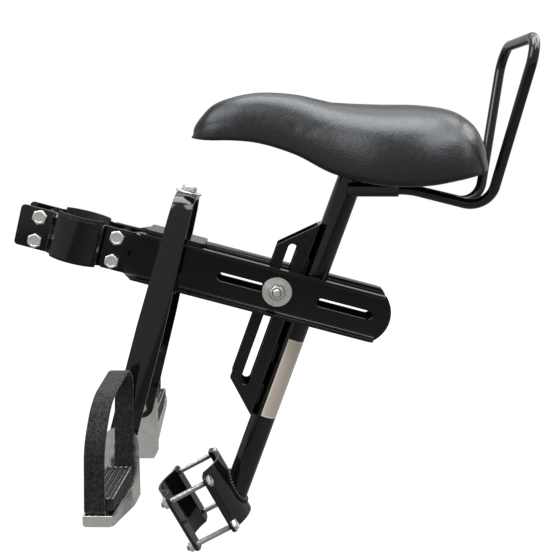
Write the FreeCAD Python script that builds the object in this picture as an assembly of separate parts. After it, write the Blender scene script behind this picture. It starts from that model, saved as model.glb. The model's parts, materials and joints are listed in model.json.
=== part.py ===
import FreeCAD
import Part
import math
import os
from FreeCAD import Placement, Rotation, Vector

# A child saddle on a post, with a beam, two tube clamps and footrests, in millimetres.
# +X points to the rear, -Y to the left side and +Z up, as the saddle is used.
# The origin is on the axis of the head tube clamp, at the middle of its height.

# Lean of the main members, in degrees
BEAM_SLOPE = 14.7
POST_LEAN = 19.5
TUBE_LEAN = 28.8
SEAT_SLOPE = 16.5

# Head tube clamp: two bent plates with a rubber liner in each
HEAD_TUBE_D = 54.0
LINER_SHEET = 2.0
LINER_HEIGHT = 47.0
LINER_ANGLE = 54.0
CLAMP_SHEET = 3.0
CLAMP_HEIGHT = 41.0
CLAMP_CORNER = 4.0
CLAMP_BEND = 3.0
CLAMP_BOLT_SETBACK = 11.0
CLAMP_BOLT_MARGIN = 8.5
CLAMP_FRONT_EDGE = 20.5
CLAMP_REAR_EDGE = 13.5

# Beam: two channels with their flanges turned outwards
BEAM_SHEET = 2.5
BEAM_GAP = 35.0
BEAM_HEIGHT = 48.0
BEAM_BEND = 3.0
WEB_LAP = 0.5
FLANGE_WIDTH = 14.0
FLANGE_SETBACK = 13.5
FLANGE_TAPER = 10.0
FLANGE_CORNER = 7.0
FRONT_SLOT_START = 144.0
FRONT_SLOT_LENGTH = 76.0
SLOT_BRIDGE = 26.0
REAR_SLOT_LENGTH = 58.0
BEAM_TAIL = 7.0
BEAM_END_BULGE = 11.0
SPARE_HOLE_D = 6.0

# Main clamp bolt, in the front slot; its washer fits between the flange bends
MAIN_BOLT_SETBACK = 14.5
MAIN_WASHER_EDGE = 3.5
MAIN_WASHER_SHEET = 2.0
MAIN_TAIL = 4.0
SLEEVE_D = 14.0

# Seat post with its slotted bracket, measured along the post from the main bolt
POST_D = 25.4
POST_WALL = 2.0
POST_TOP = 142.5
POST_FOOT = 214.0
BOLT_TO_POST = 31.5
BRACKET_SHEET = 2.5
BRACKET_PLAY = 1.0
BRACKET_NOSE = 15.5
BRACKET_FRONT_TOP = 44.0
BRACKET_FRONT_FOOT = 100.0
BRACKET_TOP_SLANT = 34.0
BRACKET_FOOT_SLANT = 32.0
BRACKET_CORNER = 3.0
BRACKET_BEND = 4.0
BRACKET_SLOT_TOP_LAP = 6.0
BRACKET_SLOT_FOOT_LAP = 3.0

# Down tube clamp: two formed halves drawn together by four bolts
DOWN_TUBE_D = 68.0
SHELL_SHEET = 3.0
SHELL_LENGTH = 68.0
SHELL_LIP = 20.0
SHELL_CORNER = 8.0
SHELL_SHIFT = 5.0
SHELL_BOLT_SETBACK = 9.0
SHELL_BOLT_EDGE = 6.0
SHELL_BOLT_MARGIN = 7.5

# Saddle on its plate
SEAT_PLATE_LENGTH = 62.0
SEAT_PLATE_WIDTH = 52.0
SEAT_PLATE_SHEET = 4.0
SEAT_PLATE_CORNER = 8.0
SEAT_BOLT_MARGIN = 9.0
PAN_SHEET = 5.0

# Saddle cover stations: distance behind the post top, half width, top and rim height
COVER_STATIONS = (
    (-161.0, 7.0, 37.0, 27.5),
    (-153.0, 17.0, 49.0, 27.0),
    (-141.0, 23.5, 60.5, 26.5),
    (-120.0, 28.0, 68.5, 26.5),
    (-95.0, 32.0, 72.5, 24.0),
    (-60.0, 41.5, 70.5, 13.5),
    (-24.0, 57.0, 62.5, -4.0),
    (20.0, 75.0, 60.0, -14.0),
    (60.0, 80.0, 60.0, -14.5),
    (92.0, 73.0, 55.0, -9.0),
    (112.0, 58.0, 43.0, -5.0),
    (124.0, 34.0, 26.5, -2.0),
    (128.0, 16.0, 16.0, 1.0),
)
DOME_ROUNDNESS = 0.82
DOME_TUCK = 0.06
RIM_ROUNDNESS = 0.55
RIM_HEIGHT = 8.0
COVER_POINTS = 20

# Saddle pan stations: distance behind the post top, half width, underside height.
# None marks a height that lies in the plane of the seat plate.
PAN_STATIONS = (
    (-140.0, 10.0, 36.0),
    (-99.0, 19.0, 32.0),
    (-66.0, 27.0, 26.0),
    (-42.0, 36.0, None),
    (34.0, 64.0, None),
    (62.0, 67.0, -6.0),
    (94.0, 58.0, -1.0),
)

# Backrest: one bent rod in a socket on the back of the post
BACK_ROD_D = 10.0
BACK_AT = 118.0
SOCKET_LENGTH = 50.0
SOCKET_WALL = 1.8
SOCKET_CORNER = 4.0
SOCKET_DEPTH = 22.0
ROD_PITCH = 20.0
BACK_STRAIGHT = 12.0
BACK_LOW_REACH = 136.0
BACK_LOW_DROP = 18.0
BACK_LOW_WIDTH = 48.0
BACK_TOP_REACH = 166.0
BACK_TOP_RISE = 142.0
BACK_TOP_WIDTH = 140.0
BACK_RUN_BEND = 60.0
BACK_LOW_BEND = 24.0
BACK_TOP_BEND = 22.0

# Footrest yoke: one formed bar over the beam, held by a long bolt
YOKE_AT = 95.0
YOKE_RISE = 66.0
YOKE_CROWN_INSET = 3.5
YOKE_FOOT_WIDTH = 116.0
YOKE_KNEE = 140.0
YOKE_EAR = 178.0
YOKE_EDGE = 3.5
YOKE_CROWN_BAR = 20.0
YOKE_LEG_BAR = 27.0
YOKE_BULGE = 2.5
YOKE_TAPER_END = 60.0
YOKE_CROWN_BEND = 20.0
YOKE_KNEE_BEND = 60.0
YOKE_SEAT_DEPTH = 1.5
YOKE_WASHER_D = 26.0
YOKE_WASHER_SHEET = 2.0
YOKE_PLATE_LENGTH = 58.0
YOKE_FOOT_PLATE_LENGTH = 26.0
YOKE_PLATE_WIDTH = 46.0
YOKE_PLATE_SHEET = 4.0
YOKE_PLATE_CORNER = 4.0
SPACER_D = 14.0

# Footrest: a folded tray that hangs from its ear, with its walls turned down, a ribbed pad and a strap
EAR_D = 36.0
EAR_SHEET = 3.0
EAR_FOOT = 52.0
TRAY_SHEET = 2.0
TRAY_WIDTH = 26.0
TRAY_LENGTH = 108.0
TRAY_DROP = 39.0
TRAY_RISE = 15.0
TRAY_ROOT = 23.0
TRAY_LIP = 10.0
TRAY_CORNER = 3.0
PAD_THICK = 17.0
PAD_THIN = 10.5
PAD_RIBS = 5
PAD_RIM = 3.0
GROOVE_WIDTH = 2.2
GROOVE_DEPTH = 2.5
STRAP_SIDE_PLAY = 2.0
STRAP_SHEET = 2.0
STRAP_SHOULDER = 68.0
STRAP_TOP = 82.0
STRAP_BROW = 72.0
STRAP_ELBOW = 38.0
STRAP_TOP_SET = 16.0
STRAP_BROW_SET = 24.0
STRAP_FOLD = 4.0
STRAP_TOP_BEND = 18.0
STRAP_BROW_BEND = 45.0

# Fasteners: diameter, width across flats, head height, nut height
M8_D = 8.0
M8_FLATS = 13.0
M8_HEAD = 5.3
M8_NUT = 6.5
M6_D = 6.0
M6_FLATS = 10.0
M6_HEAD = 4.0
M6_NUT = 5.0
BOLT_TAIL = 3.0
HEX_SIDES = 6
HEX_CHAMFER = 30.0

# Clearances
HOLE_PLAY = 0.5
SLOT_PLAY = 0.5
THREAD_PLAY = 0.1
WELD_PLAY = 0.05
SOFT_PLAY = 0.4

# Smallest length that counts as a run or as a difference between two places
TINY = 1e-4

M8 = {"d": M8_D, "flats": M8_FLATS, "head": M8_HEAD, "nut": M8_NUT}
M6 = {"d": M6_D, "flats": M6_FLATS, "head": M6_HEAD, "nut": M6_NUT}

X_AXIS = Vector(1, 0, 0)
Y_AXIS = Vector(0, 1, 0)
Z_AXIS = Vector(0, 0, 1)
FAR = 1000.0


def turned(angle, spot):
    """Frame at a spot, turned about Y: its z leans to the rear by the angle."""
    return Placement(spot, Rotation(Y_AXIS, angle))


def placed(frame, shape):
    """The shape carried from a local frame into the model's frame."""
    result = shape.copy()
    result.Placement = frame.multiply(result.Placement)
    return result


def mirrored(shape):
    """The other hand of a shape, across the plane Y = 0."""
    return shape.mirror(Vector(0, 0, 0), Y_AXIS)


def rounded_wire(points, radii, closed):
    """Straight runs joined by tangent arcs, with the radius given for each point."""
    count = len(points)
    joints = []
    for index, here in enumerate(points):
        open_end = not closed and index in (0, count - 1)
        if open_end or radii[index] == 0:
            joints.append((here, None, here))
            continue
        back = (points[index - 1] - here).normalize()
        ahead = (points[(index + 1) % count] - here).normalize()
        half = back.getAngle(ahead) / 2
        reach = radii[index] / math.tan(half)
        bisector = (back + ahead).normalize()
        middle = here + bisector * (radii[index] / math.sin(half) - radii[index])
        joints.append((here + back * reach, middle, here + ahead * reach))
    edges = []
    for index, (enter, middle, leave) in enumerate(joints):
        if middle is not None:
            edges.append(Part.Arc(enter, middle, leave).toShape())
        if closed or index < count - 1:
            following = joints[(index + 1) % count][0]
            if not following.isEqual(leave, TINY):
                edges.append(Part.makeLine(leave, following))
    return Part.Wire(edges)


def spot_on(axis, a, b, along):
    """Point from two coordinates in a plane and one along that plane's axis."""
    if axis == "x":
        return Vector(along, a, b)
    if axis == "y":
        return Vector(a, along, b)
    return Vector(a, b, along)


def prism(axis, outline, radii, low, high):
    """Outline with rounded corners, drawn across an axis and extruded along it."""
    points = [spot_on(axis, a, b, low) for a, b in outline]
    if not isinstance(radii, tuple):
        radii = (radii,) * len(points)
    face = Part.Face(rounded_wire(points, radii, True))
    return face.extrude(spot_on(axis, 0, 0, high - low))


def block(x_low, x_high, y_low, y_high, z_low, z_high):
    """Plain box between two corners."""
    return Part.makeBox(x_high - x_low, y_high - y_low, z_high - z_low, Vector(x_low, y_low, z_low))


def rod(start, end, diameter):
    """Round bar between two points."""
    return Part.makeCylinder(diameter / 2, (end - start).Length, start, end - start)


def ring(start, end, outer, inner):
    """Round bar with a bore."""
    return rod(start, end, outer).cut(rod(start, end, inner))


def slot_cutter(axis_x, low, high, width, z, half_depth):
    """Round-ended slot through Y; it runs along x at height z, or along z at place x."""
    inset = width / 2
    if axis_x:
        outline = ((low, z - inset), (high, z - inset), (high, z + inset), (low, z + inset))
    else:
        outline = ((z - inset, low), (z + inset, low), (z + inset, high), (z - inset, high))
    return prism("y", outline, inset, -half_depth, half_depth)


def hexagon(size, height, base, axis):
    """Six-sided prism that stands on its base along an axis."""
    flat = size["flats"] / 2
    turn = 2 * math.pi / HEX_SIDES
    radius = flat / math.cos(turn / 2)
    angles = [turn * index for index in range(HEX_SIDES + 1)]
    corners = [Vector(radius * math.cos(angle), radius * math.sin(angle), 0) for angle in angles]
    solid = Part.Face(Part.makePolygon(corners)).extrude(Z_AXIS * height)
    spread = height / math.tan(math.radians(HEX_CHAMFER))
    solid = solid.common(Part.makeCone(flat + spread, flat, height))
    return placed(Placement(base, Rotation(Z_AXIS, axis)), solid)


def bolt(size, base, axis, length):
    """Hex bolt: its head seats at the base and its shank runs along the axis."""
    head = hexagon(size, size["head"], base, axis * -1)
    return head.fuse(rod(base, base + axis * length, size["d"])).removeSplitter()


def nut(size, base, axis):
    """Hex nut that seats at the base, with its bore clear of the bolt's thread."""
    bore = rod(base, base + axis * size["nut"], size["d"] + 2 * THREAD_PLAY)
    return hexagon(size, size["nut"], base, axis).cut(bore)


def group(solids):
    """Several like solids in one node."""
    return Part.makeCompound(solids)


WEB_IN = BEAM_GAP / 2
WEB_OUT = WEB_IN + BEAM_SHEET
FLANGE_OUT = WEB_IN + FLANGE_WIDTH
SLOT_WIDTH = M8_D + 2 * SLOT_PLAY

# Along the beam, from the head tube's axis: the clamp's bulge ends, then its bolts, then the flanges
CLAMP_IN = WEB_IN - CLAMP_SHEET
CLAMP_BULGE = HEAD_TUBE_D / 2 + LINER_SHEET + CLAMP_SHEET
CLAMP_BEND_END = math.sqrt((CLAMP_BULGE + CLAMP_BEND) ** 2 - (WEB_IN + CLAMP_BEND) ** 2)
CLAMP_BOLT_REACH = CLAMP_BEND_END + CLAMP_BOLT_SETBACK
CLAMP_BOLT_PITCH = CLAMP_HEIGHT - 2 * CLAMP_BOLT_MARGIN
CLAMP_FRONT = CLAMP_BOLT_REACH + CLAMP_FRONT_EDGE
CLAMP_REAR = CLAMP_BOLT_REACH + CLAMP_REAR_EDGE
WEB_FRONT_HEIGHT = CLAMP_HEIGHT + 2 * WEB_LAP
BEAM_FRONT = CLAMP_BEND_END + HOLE_PLAY
FLANGE_FRONT = CLAMP_BOLT_REACH + FLANGE_SETBACK
MAIN_BOLT_AT = FRONT_SLOT_START + FRONT_SLOT_LENGTH - MAIN_BOLT_SETBACK
REAR_SLOT_START = FRONT_SLOT_START + FRONT_SLOT_LENGTH + SLOT_BRIDGE
FLANGE_REAR = REAR_SLOT_START + REAR_SLOT_LENGTH + BEAM_TAIL
BEAM_REAR = FLANGE_REAR + BEAM_END_BULGE

MAIN_WASHER_D = BEAM_HEIGHT - 2 * (BEAM_SHEET + BEAM_BEND + MAIN_WASHER_EDGE)
BRACKET_WIDTH = BEAM_GAP - 2 * BRACKET_PLAY
BRACKET_BACK_TOP = BRACKET_FRONT_TOP + BRACKET_TOP_SLANT
BRACKET_BACK_FOOT = BRACKET_FRONT_FOOT + BRACKET_FOOT_SLANT
BRACKET_SLOT_TOP = BRACKET_FRONT_TOP + BRACKET_SLOT_TOP_LAP
BRACKET_SLOT_FOOT = BRACKET_FRONT_FOOT + BRACKET_SLOT_FOOT_LAP

SHELL_CREST = DOWN_TUBE_D / 2 + SHELL_SHEET
SHELL_ROOT = math.sqrt(SHELL_CREST ** 2 - SHELL_LIP ** 2)
SHELL_BOLT_SPREAD = 2 * (SHELL_ROOT + SHELL_BOLT_SETBACK)
SHELL_BOLT_PITCH = SHELL_LENGTH - 2 * SHELL_BOLT_MARGIN
SHELL_WIDTH = SHELL_BOLT_SPREAD + 2 * SHELL_BOLT_EDGE

SOCKET_WIDTH = ROD_PITCH + BACK_ROD_D + 2 * SOCKET_WALL
SOCKET_HEIGHT = BACK_ROD_D + 2 * SOCKET_WALL
BACK_RUN = SOCKET_LENGTH + BACK_STRAIGHT

# Outwards from the middle plane: yoke, footrest ear, tray and strap
YOKE_CROWN_WIDTH = 2 * (FLANGE_OUT - YOKE_CROWN_INSET)
YOKE_SEAT = YOKE_RISE + YOKE_EDGE + YOKE_BULGE - YOKE_SEAT_DEPTH
EAR_SEAT = YOKE_FOOT_WIDTH / 2 + YOKE_EDGE
TRAY_IN = EAR_SEAT + EAR_SHEET
TRAY_OUT = TRAY_IN + TRAY_LENGTH
STRAP_IN = TRAY_IN + M8_HEAD + STRAP_SHEET
STRAP_OUT = TRAY_OUT - STRAP_SHEET
STRAP_WIDTH = TRAY_WIDTH - 2 * (TRAY_SHEET + STRAP_SIDE_PLAY)

BEAM = turned(BEAM_SLOPE, Vector(0, 0, 0))
POST = turned(POST_LEAN, BEAM.multVec(Vector(MAIN_BOLT_AT, 0, 0)))
SEAT = turned(SEAT_SLOPE, POST.multVec(Vector(BOLT_TO_POST, 0, POST_TOP)))
SADDLE = turned(0, SEAT.Base)
BACK = turned(0, POST.multVec(Vector(BOLT_TO_POST, 0, BACK_AT)))
YOKE = turned(BEAM_SLOPE, BEAM.multVec(Vector(YOKE_AT, 0, 0)))
FOOT = turned(0, YOKE.multVec(Vector(0, 0, -YOKE_EAR)))
TUBE_TURN = Rotation(Y_AXIS, -TUBE_LEAN)
POST_END = POST.multVec(Vector(BOLT_TO_POST, 0, -POST_FOOT))
TUBE = Placement(POST_END + TUBE_TURN.multVec(Vector(-SHELL_CREST, 0, SHELL_SHIFT)), TUBE_TURN)


def head_clamp_half():
    """Left clamp plate: flat front ear, bulge round the head tube, flat rear ear."""
    outer = CLAMP_BULGE
    inner = CLAMP_BULGE - CLAMP_SHEET
    chord_out = math.sqrt(outer ** 2 - WEB_IN ** 2)
    low = -CLAMP_HEIGHT / 2
    high = CLAMP_HEIGHT / 2
    strip = block(-CLAMP_FRONT, CLAMP_REAR, -WEB_IN, -CLAMP_IN, low, high)
    shell = ring(Vector(0, 0, low), Vector(0, 0, high), 2 * outer, 2 * inner)
    shell = shell.common(block(-outer, outer, -outer, -CLAMP_IN, low, high))
    hollow = rod(Vector(0, 0, low), Vector(0, 0, high), 2 * inner)
    plate = strip.cut(hollow).fuse(shell).removeSplitter()
    corners = [edge for edge in plate.Edges
               if abs(edge.Vertexes[0].X - edge.Vertexes[-1].X) < TINY
               and abs(edge.Length - CLAMP_HEIGHT) < TINY
               and abs(abs(edge.Vertexes[0].X) - chord_out) < TINY]
    plate = plate.makeFillet(CLAMP_BEND, corners)
    outline = ((-CLAMP_FRONT, low), (CLAMP_REAR, low), (CLAMP_REAR, high), (-CLAMP_FRONT, high))
    plate = plate.common(prism("y", outline, CLAMP_CORNER, -outer, 0))
    for x, z in clamp_bolt_spots():
        plate = plate.cut(rod(Vector(x, -outer, z), Vector(x, 0, z), M8_D + 2 * HOLE_PLAY))
    return plate


def clamp_bolt_spots():
    """Front pair, then rear pair, of the head tube clamp's bolts."""
    reach = CLAMP_BOLT_REACH
    half = CLAMP_BOLT_PITCH / 2
    return [(-reach, half), (-reach, -half), (reach, half), (reach, -half)]


def clamp_liner_half():
    """Left rubber liner between the head tube and its clamp plate."""
    low = Vector(0, 0, -LINER_HEIGHT / 2)
    high = Vector(0, 0, LINER_HEIGHT / 2)
    radius = HEAD_TUBE_D / 2
    shell = ring(low, high, 2 * (radius + LINER_SHEET), 2 * radius)
    reach = FAR * math.sin(math.radians(LINER_ANGLE))
    depth = FAR * math.cos(math.radians(LINER_ANGLE))
    wedge = prism("z", ((0, 0), (-reach, -depth), (0, -FAR), (reach, -depth)), 0, low.z, high.z)
    return shell.common(wedge)


def clamp_fasteners(rear):
    """Bolts and nuts of one pair; the rear pair also passes through the beam's webs."""
    seat = WEB_OUT if rear else WEB_IN
    spots = clamp_bolt_spots()[2:] if rear else clamp_bolt_spots()[:2]
    length = 2 * seat + M8_NUT + BOLT_TAIL
    bolts = [bolt(M8, Vector(x, -seat, z), Y_AXIS, length) for x, z in spots]
    nuts = [nut(M8, Vector(x, seat, z), Y_AXIS) for x, z in spots]
    return group(bolts), group(nuts)


def beam_channel():
    """Left channel: web with two slots, flanges turned outwards, rounded rear end."""
    half = BEAM_HEIGHT / 2
    lip = half - BEAM_SHEET
    section = ((-FLANGE_OUT, half), (-WEB_IN, half), (-WEB_IN, -half), (-FLANGE_OUT, -half),
               (-FLANGE_OUT, -lip), (-WEB_OUT, -lip), (-WEB_OUT, lip), (-FLANGE_OUT, lip))
    outer_bend = BEAM_BEND + BEAM_SHEET
    radii = (0, outer_bend, outer_bend, 0, 0, BEAM_BEND, BEAM_BEND, 0)
    channel = prism("x", section, radii, BEAM_FRONT, BEAM_REAR)
    front = WEB_FRONT_HEIGHT / 2
    end = Part.Arc(Vector(FLANGE_REAR, 0, -half), Vector(BEAM_REAR, 0, 0), Vector(FLANGE_REAR, 0, half))
    side = Part.Wire([
        Part.makeLine(Vector(BEAM_FRONT, 0, -front), Vector(FLANGE_FRONT, 0, -front)),
        Part.makeLine(Vector(FLANGE_FRONT, 0, -front), Vector(FLANGE_FRONT + FLANGE_TAPER, 0, -half)),
        Part.makeLine(Vector(FLANGE_FRONT + FLANGE_TAPER, 0, -half), Vector(FLANGE_REAR, 0, -half)),
        end.toShape(),
        Part.makeLine(Vector(FLANGE_REAR, 0, half), Vector(FLANGE_FRONT + FLANGE_TAPER, 0, half)),
        Part.makeLine(Vector(FLANGE_FRONT + FLANGE_TAPER, 0, half), Vector(FLANGE_FRONT, 0, front)),
        Part.makeLine(Vector(FLANGE_FRONT, 0, front), Vector(BEAM_FRONT, 0, front)),
        Part.makeLine(Vector(BEAM_FRONT, 0, front), Vector(BEAM_FRONT, 0, -front)),
    ])
    channel = channel.common(Part.Face(side).extrude(Y_AXIS * -FLANGE_OUT))
    plan = ((BEAM_FRONT, -WEB_IN), (BEAM_FRONT, -WEB_OUT), (FLANGE_FRONT, -WEB_OUT),
            (FLANGE_FRONT + FLANGE_TAPER, -FLANGE_OUT), (FLANGE_REAR, -FLANGE_OUT),
            (FLANGE_REAR, -WEB_OUT), (BEAM_REAR, -WEB_OUT), (BEAM_REAR, -WEB_IN))
    channel = channel.common(prism("z", plan, (0, 0, 0, 0, FLANGE_CORNER, 0, 0, 0), -half, half))
    for start, length in ((FRONT_SLOT_START, FRONT_SLOT_LENGTH), (REAR_SLOT_START, REAR_SLOT_LENGTH)):
        channel = channel.cut(slot_cutter(True, start, start + length, SLOT_WIDTH, 0, FLANGE_OUT))
    for x, z in clamp_bolt_spots()[2:]:
        channel = channel.cut(rod(Vector(x, -FLANGE_OUT, z), Vector(x, 0, z), M8_D + 2 * HOLE_PLAY))
    spare = rod(Vector(FLANGE_FRONT, -WEB_OUT, 0), Vector(FLANGE_FRONT, -WEB_IN, 0), SPARE_HOLE_D)
    return channel.cut(spare)


def main_clamp():
    """Main bolt across the beam with its washers, nut and the sleeve in the bracket."""
    seat = WEB_OUT + MAIN_WASHER_SHEET
    shank = bolt(M8, Vector(0, seat, 0), Y_AXIS * -1, 2 * seat + M8_NUT + MAIN_TAIL)
    washers = []
    for side in (-1, 1):
        start = Vector(0, side * WEB_OUT, 0)
        end = Vector(0, side * seat, 0)
        washers.append(ring(start, end, MAIN_WASHER_D, M8_D + 2 * HOLE_PLAY))
    inside = BRACKET_WIDTH / 2 - BRACKET_SHEET - HOLE_PLAY
    sleeve = ring(Vector(0, -inside, 0), Vector(0, inside, 0), SLEEVE_D, M8_D + 2 * HOLE_PLAY)
    return shank, group(washers), nut(M8, Vector(0, -seat, 0), Y_AXIS * -1), sleeve


def seat_post():
    """Tube from the down tube clamp to the seat plate, coped to fit on both."""
    axis = BOLT_TO_POST
    foot = Vector(axis, 0, -POST_FOOT - SHELL_CREST)
    top = Vector(axis, 0, POST_TOP + POST_D)
    tube = placed(POST, ring(foot, top, POST_D, POST_D - 2 * POST_WALL))
    reach = Vector(0, 0, FAR)
    crown = rod(reach * -1, reach, 2 * (SHELL_CREST + WELD_PLAY))
    below = block(-FAR, 0, -FAR, FAR, -FAR, FAR)
    tube = tube.cut(placed(TUBE, crown.fuse(below)))
    return tube.cut(placed(SEAT, block(-FAR, FAR, -FAR, FAR, 0, FAR)))


def slotted_bracket():
    """Folded channel on the front of the post, open forwards, with a long slot in each side."""
    back = BOLT_TO_POST - POST_D / 2 - WELD_PLAY
    half = BRACKET_WIDTH / 2
    inside = half - BRACKET_SHEET
    section = ((-BRACKET_NOSE, -half), (back, -half), (back, half), (-BRACKET_NOSE, half),
               (-BRACKET_NOSE, inside), (back - BRACKET_SHEET, inside),
               (back - BRACKET_SHEET, -inside), (-BRACKET_NOSE, -inside))
    bend_in = BRACKET_BEND - BRACKET_SHEET
    radii = (0, BRACKET_BEND, BRACKET_BEND, 0, 0, bend_in, bend_in, 0)
    channel = prism("z", section, radii, -BRACKET_BACK_FOOT, BRACKET_BACK_TOP)
    outline = ((-BRACKET_NOSE, -BRACKET_FRONT_FOOT), (back, -BRACKET_BACK_FOOT),
               (back, BRACKET_BACK_TOP), (-BRACKET_NOSE, BRACKET_FRONT_TOP))
    channel = channel.common(prism("y", outline, (BRACKET_CORNER, 0, 0, BRACKET_CORNER), -half, half))
    return channel.cut(slot_cutter(False, -BRACKET_SLOT_FOOT, BRACKET_SLOT_TOP, SLOT_WIDTH, 0, half))


def shell_half(bolt_holes):
    """Down tube clamp half on the +x side of the tube: an arc between two flat lips."""
    inner = DOWN_TUBE_D / 2
    half = SHELL_LENGTH / 2
    wide = SHELL_WIDTH / 2
    arc = ring(Vector(0, 0, -half), Vector(0, 0, half), 2 * SHELL_CREST, 2 * inner)
    arc = arc.common(block(SHELL_LIP, SHELL_CREST, -wide, wide, -half, half))
    lips = block(SHELL_LIP, SHELL_LIP + SHELL_SHEET, -wide, wide, -half, half)
    lips = lips.cut(rod(Vector(0, 0, -half), Vector(0, 0, half), 2 * inner))
    shell = arc.fuse(lips).removeSplitter()
    outline = ((-wide, -half), (wide, -half), (wide, half), (-wide, half))
    shell = shell.common(prism("x", outline, SHELL_CORNER, 0, SHELL_CREST))
    for y, z in bolt_holes:
        shell = shell.cut(rod(Vector(0, y, z), Vector(SHELL_CREST, y, z), M6_D + 2 * HOLE_PLAY))
    return shell


def shell_bolt_spots():
    """Four bolt places in the lips of the down tube clamp."""
    spread = SHELL_BOLT_SPREAD / 2
    pitch = SHELL_BOLT_PITCH / 2
    return [(side * spread, end * pitch) for side in (-1, 1) for end in (-1, 1)]


def shell_fasteners():
    """Bolts down through both lips, with their nuts on the lower half."""
    seat = SHELL_LIP + SHELL_SHEET
    length = 2 * seat + M6_NUT + BOLT_TAIL
    down = X_AXIS * -1
    bolts = [bolt(M6, Vector(seat, y, z), down, length) for y, z in shell_bolt_spots()]
    nuts = [nut(M6, Vector(-seat, y, z), down) for y, z in shell_bolt_spots()]
    return group(bolts), group(nuts)


def seat_bolt_spots():
    """Four bolt places in the seat plate."""
    length = SEAT_PLATE_LENGTH / 2 - SEAT_BOLT_MARGIN
    width = SEAT_PLATE_WIDTH / 2 - SEAT_BOLT_MARGIN
    return [(end * length, side * width) for end in (-1, 1) for side in (-1, 1)]


def seat_plate():
    """Flat plate on top of the post that carries the saddle pan."""
    length = SEAT_PLATE_LENGTH / 2
    width = SEAT_PLATE_WIDTH / 2
    outline = ((-length, -width), (length, -width), (length, width), (-length, width))
    plate = prism("z", outline, SEAT_PLATE_CORNER, 0, SEAT_PLATE_SHEET)
    for x, y in seat_bolt_spots():
        plate = plate.cut(rod(Vector(x, y, 0), Vector(x, y, SEAT_PLATE_SHEET), M6_D + 2 * HOLE_PLAY))
    return plate


def seat_bolts():
    """Bolts up through the seat plate into the saddle pan."""
    length = SEAT_PLATE_SHEET + PAN_SHEET - SOFT_PLAY
    return group([bolt(M6, Vector(x, y, 0), Z_AXIS, length) for x, y in seat_bolt_spots()])


def pan_underside(x, given):
    """Height of the pan's underside; without a given height it lies on the seat plate."""
    if given is not None:
        return given
    slope = math.radians(SEAT_SLOPE)
    return SEAT_PLATE_SHEET / math.cos(slope) - x * math.tan(slope)


def pan_form(grow, down, up):
    """Straight-ruled form over the pan stations, grown sideways and up or down."""
    wires = []
    last = len(PAN_STATIONS) - 1
    for index, (x, half, given) in enumerate(PAN_STATIONS):
        ends = {0: -grow, last: grow}
        place = x + ends.get(index, 0)
        wide = half + grow
        low = pan_underside(x, given) - down
        high = pan_underside(x, given) + up
        corners = [Vector(place, -wide, low), Vector(place, wide, low),
                   Vector(place, wide, high), Vector(place, -wide, high), Vector(place, -wide, low)]
        wires.append(Part.makePolygon(corners))
    return Part.makeLoft(wires, True, True)


def saddle_pan():
    """Moulded pan under the saddle's padding, drilled for the seat bolts."""
    pan = placed(SADDLE, pan_form(0, 0, PAN_SHEET))
    for x, y in seat_bolt_spots():
        hole = rod(Vector(x, y, 0), Vector(x, y, SEAT_PLATE_SHEET + 2 * PAN_SHEET), M6_D + 2 * THREAD_PLAY)
        pan = pan.cut(placed(SEAT, hole))
    return pan


def cover_section(x, half, top, rim):
    """Cross-section of the saddle: a dome that narrows upwards from a low rounded rim."""
    waist = rim + min(RIM_HEIGHT, (top - rim) / 2)
    points = []
    for index in range(COVER_POINTS):
        angle = 2 * math.pi * index / COVER_POINTS
        above = math.sin(angle) > 0
        power = DOME_ROUNDNESS if above else RIM_ROUNDNESS
        across = math.copysign(abs(math.cos(angle)) ** power, math.cos(angle))
        upward = math.copysign(abs(math.sin(angle)) ** power, math.sin(angle))
        reach = top - waist if above else waist - rim
        narrow = 1 - DOME_TUCK * max(upward, 0)
        points.append(Vector(x, half * across * narrow, waist + reach * upward))
    curve = Part.BSplineCurve()
    curve.interpolate(Points=points, PeriodicFlag=True)
    return Part.Wire([curve.toShape()])


def saddle_cover():
    """Padded saddle body, hollowed below where the pan sits."""
    body = Part.makeLoft([cover_section(*station) for station in COVER_STATIONS], True, False)
    hollow = pan_form(SOFT_PLAY, FAR, PAN_SHEET + SOFT_PLAY)
    return body.cut(hollow)


def backrest_socket():
    """Block on the back of the post with a bore for each end of the backrest rod."""
    width = SOCKET_WIDTH / 2
    height = SOCKET_HEIGHT / 2
    outline = ((-width, -height), (width, -height), (width, height), (-width, height))
    body = prism("x", outline, SOCKET_CORNER, 0, SOCKET_LENGTH)
    for side in (-1, 1):
        start = Vector(SOCKET_LENGTH - SOCKET_DEPTH, side * ROD_PITCH / 2, 0)
        end = Vector(SOCKET_LENGTH, side * ROD_PITCH / 2, 0)
        body = body.cut(rod(start, end, BACK_ROD_D + 2 * THREAD_PLAY))
    post = rod(Vector(BOLT_TO_POST, 0, -FAR), Vector(BOLT_TO_POST, 0, FAR), POST_D + 2 * WELD_PLAY)
    return placed(BACK, body).cut(placed(POST, post))


def backrest_loop():
    """Bent rod: back from the socket, up each side and across the top."""
    half = ROD_PITCH / 2
    side = [(SOCKET_LENGTH - SOCKET_DEPTH + THREAD_PLAY, half, 0, 0),
            (BACK_RUN, half, 0, BACK_RUN_BEND),
            (BACK_LOW_REACH, BACK_LOW_WIDTH / 2, -BACK_LOW_DROP, BACK_LOW_BEND),
            (BACK_TOP_REACH, BACK_TOP_WIDTH / 2, BACK_TOP_RISE, BACK_TOP_BEND)]
    left = [Vector(x, -y, z) for x, y, z, bend in side]
    right = [Vector(x, y, z) for x, y, z, bend in reversed(side)]
    bends = [bend for x, y, z, bend in side]
    path = rounded_wire(left + right, bends + bends[::-1], False)
    circle = Part.Wire([Part.makeCircle(BACK_ROD_D / 2, left[0], X_AXIS)])
    return path.makePipeShell([circle], True, False)


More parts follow.
